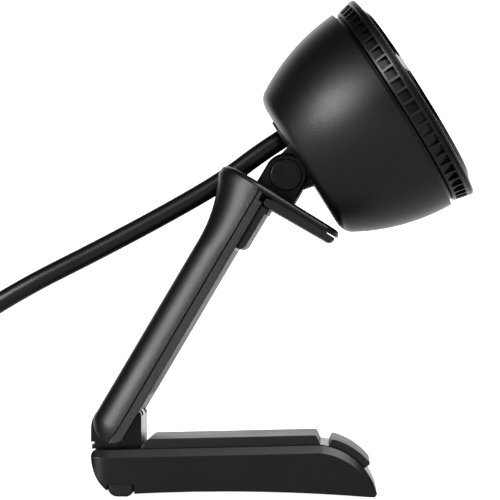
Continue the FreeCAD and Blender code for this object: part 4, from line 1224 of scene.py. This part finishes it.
    def add_pads(self) -> None:
        """The flush strip on the leg, the raised pad in the corner and the pad under the plate."""
        strip = brick((self.inner - 0.68, -self.strip_half, self.strip_low),
                      (self.inner, self.strip_half, self.strip_high))
        shown = [edge for edge in strip.edges if min(vert.co.x for vert in edge.verts) > self.inner - 0.1]
        soften(strip, shown, 0.18, 2)
        finished("leg_strip", strip, Body.ARM, "pad_rubber", "arm_pad")
        corner = slab([
            (self.inner, 57), (self.inner + 0.9, 57.05), (self.inner + 1.75, 57.9, self.inner + 2.0, 59.6),
            (self.inner + 2.1, 69.9), (self.inner, 69.9)], 2 * self.corner_half, step=0.3)
        soften(corner, at_sides(corner, self.corner_half), 0.35, 2)
        finished("pad_corner", corner, Body.ARM, "pad_rubber", "corner_pad")
        under = slab([
            (3.6, 70.2), (22.6, 70.4), (23.3, 70.9, 23.7, 72.3), (21, 72.4), (21, self.plate_under),
            (4.4, self.plate_under), (4.4, 72.4), (3.0, 72.3), (3.05, 70.8)], 2 * self.under_half, step=0.3)
        soften(under, at_sides(under, self.under_half), 0.3, 2)
        web_top = self.plate_under - 0.01
        under = merged(
            under, brick((self.inner + 0.01, -self.web_half, 68.5), (5.2, self.web_half, web_top)),
            brick((self.inner - 1.15, -self.web_half, self.plate_under - 2.15), (3, self.web_half, web_top)))
        finished("pad_plate", under, Body.ARM, "pad_rubber", "plate_pad")

    def ear(self, side: int) -> BMesh:
        """One ear of the tilt hinge, bevelled outside, with the bed of its cap.

        Args:
            side: 1 or -1, the sign of its Y.

        Returns:
            The ear's solid.
        """
        x, z = self.pivot
        foot = self.plate_top - 1.2
        ear = slab([(x - self.ear_radius, foot), (x + self.ear_radius, foot), (x + self.ear_radius, z),
                    (x, z + self.ear_radius, x - self.ear_radius, z)],
                   self.ear_outer - self.ear_inner, side * (self.ear_outer + self.ear_inner) / 2, step=0.5)
        soften(ear, at_sides(ear, self.ear_outer), 0.7, 1)
        return joined(ear, cylinder(4.45, 1.6, (x, side * self.ear_outer, z)), cylinder(2.0, 30, (x, 0, z)))

    def add_ears(self) -> None:
        """The painted bracket and the caps over the tilt pin's ends."""
        x, z = self.pivot
        base = brick((x - self.ear_radius + 0.02, -self.ear_inner - 0.5, self.plate_top - 1.2),
                     (x + self.ear_radius - 0.02, self.ear_inner + 0.5, self.plate_top - 0.3))
        bracket = merged(self.ear(1), self.ear(-1), base)
        finished("ear_bracket", bracket, Body.ARM, "bracket_metal", "hinge_bracket")
        caps = []
        for side in (1, -1):
            cap = turned([(0, 0), (0, 4.1), (0.55, 4.1), (0.7, 4.02), (0.78, 3.85), (0.74, 2.0), (0.72, 0)],
                         closed=False, steps=72)
            turn = Matrix.Rotation(side * math.pi / 2, 4, "Z")
            caps.append(slanted(cap, Matrix.Translation((x, side * (self.ear_outer - 0.8), z)) @ turn))
        finished("pin_caps", merged(*caps), Body.ARM, "stand_plastic", "hinge_caps")


# ---- foot ----


@dataclass
class Foot:
    """The foot: moulding, pads, knuckle, bumper and threaded insert. X runs from the fold axis."""

    half: float = 17.0
    top: float = 12.42
    slope: float = 1.4
    toe_centre: float = 51.8
    toe_low: float = 3.2
    toe_radius: float = 17.0
    band: float = 2.2
    band_depth: float = 1.3
    heel_round: float = 4.6
    heel_draw: float = 2.4
    pad_half: float = 14.9
    pad_height: float = 2.45
    toe_pad_height: float = 2.0
    block_half: float = 11.0
    block_radius: float = 7.2
    block_front: float = 6.2
    fold_height: float = 17.6
    seat: float = 12.2
    insert_x: float = 49.0
    insert_bore: float = 3.175
    insert_radius: float = 4.2
    thread_pitch: float = 1.27

    def build(self) -> None:
        """Make the foot's pieces."""
        self.add_moulding()
        self.add_pads()
        self.add_knuckle()
        self.add_bumper()
        self.add_insert()

    def top_at(self, x: float) -> float:
        """Height of the sloping top at a place along the foot."""
        return self.top + x * math.tan(math.radians(self.slope))

    def toe(self, degrees: float, proud: float = 0.0) -> Corner:
        """A point on the round toe at an angle above the floor."""
        angle, radius = math.radians(degrees), self.toe_radius + proud
        return (self.toe_centre + radius * math.cos(angle), radius * math.sin(angle) - self.toe_low)

    def section(self, x: float, low: float, high: float) -> list[Corner]:
        """Outline of the foot across its length: a sloping band along the top of each side.

        Args:
            x: Place along the foot.
            low: Height of the underside there.
            high: Height of the top there.

        Returns:
            The outline's points, anticlockwise from one lower corner.
        """
        round_in = min(1.0, max(0.0, (self.heel_round - x - 6.9) / self.heel_round))
        width = self.half - self.heel_draw * (1 - math.sqrt(1 - round_in ** 2))
        tall = high - low
        band = min(self.band, 0.3 * tall)
        lower = min(0.9, 0.2 * tall)
        side = [(width - lower, low), (width - 0.3 * lower, low + 0.3 * lower), (width, low + lower),
                (width, high - band - 0.12), (width - 0.06, high - band + 0.1),
                (width - self.band_depth * band / self.band, high - 0.22),
                (width - self.band_depth * band / self.band - 0.4, high)]
        return [(x, y, z) for y, z in side] + [(x, -y, z) for y, z in reversed(side)]

    def add_moulding(self) -> None:
        """The body of the foot, drawn from heel to toe, with its seat, notch and holes."""
        under = trace([(-6.9, 10.7), (-6.6, 8.2), (-5.4, 4.9, -2.1, 1.2), (4.7, 0.75), (38, 1.35, 66.4, 0),
                       (67.7, 0), self.toe(14)])
        over = trace([(-6.9, 10.7), (-6.3, 11.9, -3.9, self.top_at(-3.9)), self.toe(84),
                      (*self.toe(50), *self.toe(14))])
        heel = [-6.9 + 0.08 + 3.6 * (number / 9) ** 2 for number in range(10)]
        toe = [self.toe(84 - 70 * number / 24)[0] for number in range(24)]
        stations = [*heel, -2, 0, 4, 4.7, 10, 20, 30, 38, 45, 50, *toe, self.toe(14)[0] - 0.05]
        foot = lofted([self.section(x, height_at(under, x), height_at(over, x)) for x in stations])
        foot = joined(foot, brick((-9, -self.block_half, self.seat), (self.block_front, self.block_half, 20)),
                      brick((-2.5, -self.half - 1, -1), (4.7, self.half + 1, 3.25)),
                      cylinder(self.insert_radius, 18, (self.insert_x, 0, 0), upright=True),
                      *(cylinder(2.2, 12, (0, y, 0), upright=True) for y in (6, -6)))
        finished("foot_moulding", foot, Body.FOOT, "stand_plastic", "foot_shell", "foot_cover", sharp=24)

    def add_pads(self) -> None:
        """The long pad on top and the curved one over the toe."""
        pad = slab([
            (6.6, self.top_at(6.6)), (53.4, self.top_at(53.4)),
            (52.5, self.top_at(52.5) + self.pad_height - 0.3),
            (52.0, self.top_at(52.0) + self.pad_height), (8.6, self.top_at(8.6) + self.pad_height),
            (8.0, self.top_at(8.0) + self.pad_height - 0.25)], 2 * self.pad_half)
        soften(pad, [edge for edge in at_sides(pad, self.pad_half)
                     if min(vert.co.z for vert in edge.verts) > self.top + 1.5], 0.35, 2)
        finished("pad_long", pad, Body.FOOT, "pad_rubber", "foot_pad")
        reach = self.toe_pad_height
        toe = slab([
            self.toe(77), (*self.toe(58), *self.toe(39)), self.toe(38.6, reach - 0.4), self.toe(39.6, reach),
            (*self.toe(57, reach), *self.toe(74.5, reach)), self.toe(76, reach - 0.35)], 2 * self.pad_half)
        soften(toe, at_sides(toe, self.pad_half), 0.3, 2)
        finished("pad_toe", toe, Body.FOOT, "pad_rubber", "toe_pad")

    def add_knuckle(self) -> None:
        """The painted knuckle between the arm's cheeks."""
        rise = self.fold_height + math.sqrt(self.block_radius ** 2 - self.block_front ** 2)
        knuckle = slab([
            (-self.block_radius + 0.3, self.seat), (self.block_front, self.seat), (self.block_front, rise),
            (0, self.fold_height + self.block_radius, -self.block_radius, self.fold_height),
            (-self.block_radius, 14.1), (-self.block_radius + 1, 14.0), (-self.block_radius + 1, 13.5),
            (-self.block_radius + 0.3, 13.4)], 2 * self.block_half, step=0.6)
        soften(knuckle, at_sides(knuckle, self.block_half), 0.25, 2)
        windows = [brick((1.0, y - 2.6, self.fold_height + 3.2), (8.0, y + 2.6, 30)) for y in (-6, 6)]
        knuckle = joined(knuckle, cylinder(1.65, 40, (0, 0, self.fold_height)), *windows)
        finished("fold_knuckle", knuckle, Body.FOOT, "bracket_metal", "hinge_block")

    def add_bumper(self) -> None:
        """The rubber bumper under the heel."""
        bumper = slab([(-2.35, 3.2), (-2.3, 2.3), (-1.5, 0.75, 0.7, 0.02), (2.0, 0.02), (4.0, 0.7, 4.55, 2.3),
                       (4.55, 3.2)], 2 * self.half - 0.3, step=0.4)
        soften(bumper, [edge for edge in at_sides(bumper, self.half - 0.15)
                        if min(vert.co.z for vert in edge.verts) < 3.0], 0.8, 4)
        finished("bumper", bumper, Body.FOOT, "pad_rubber", "heel_bumper")

    def add_insert(self) -> None:
        """The brass insert with its thread drawn as rings one pitch apart."""
        low, high = 2.2, 9.0
        groove: list[Corner] = [(low, self.insert_radius), (low, self.insert_bore + 0.3)]
        for number in range(5):
            start = low + 0.3 + self.thread_pitch * number
            groove += [(start, self.insert_bore), (start + self.thread_pitch / 2, self.insert_bore - 0.45)]
        insert = turned([*groove, (high - 0.2, self.insert_bore), (high, self.insert_bore + 0.2),
                         (high, self.insert_radius)], steps=48)
        upright = Matrix.Translation((self.insert_x, 0, 0)) @ Matrix.Rotation(-math.pi / 2, 4, "Y")
        finished("thread_insert", slanted(insert, upright), Body.FOOT, "standoff_brass", "tripod_insert")


# ---- the rest ----


def dress_cad_nodes() -> None:
    """Give every CAD node the material of its slot."""
    for entry in frame["record"]["subparts"]:
        mesh = frame["nodes"][entry["node"]].data
        mesh.materials.clear()
        mesh.materials.append(materials[entry["material_slot"]])


def main() -> None:
    """Build the scene."""
    Stage(aim=Vector((-8.75, 0, 64.8)) * MM).build()
    for assembly in (Lead(), Casing(), Dial(), Front(), Arm(), Foot()):
        assembly.build()
        log.info("%s done", type(assembly).__name__)
    dress_cad_nodes()


if __name__ == "__main__":
    main()
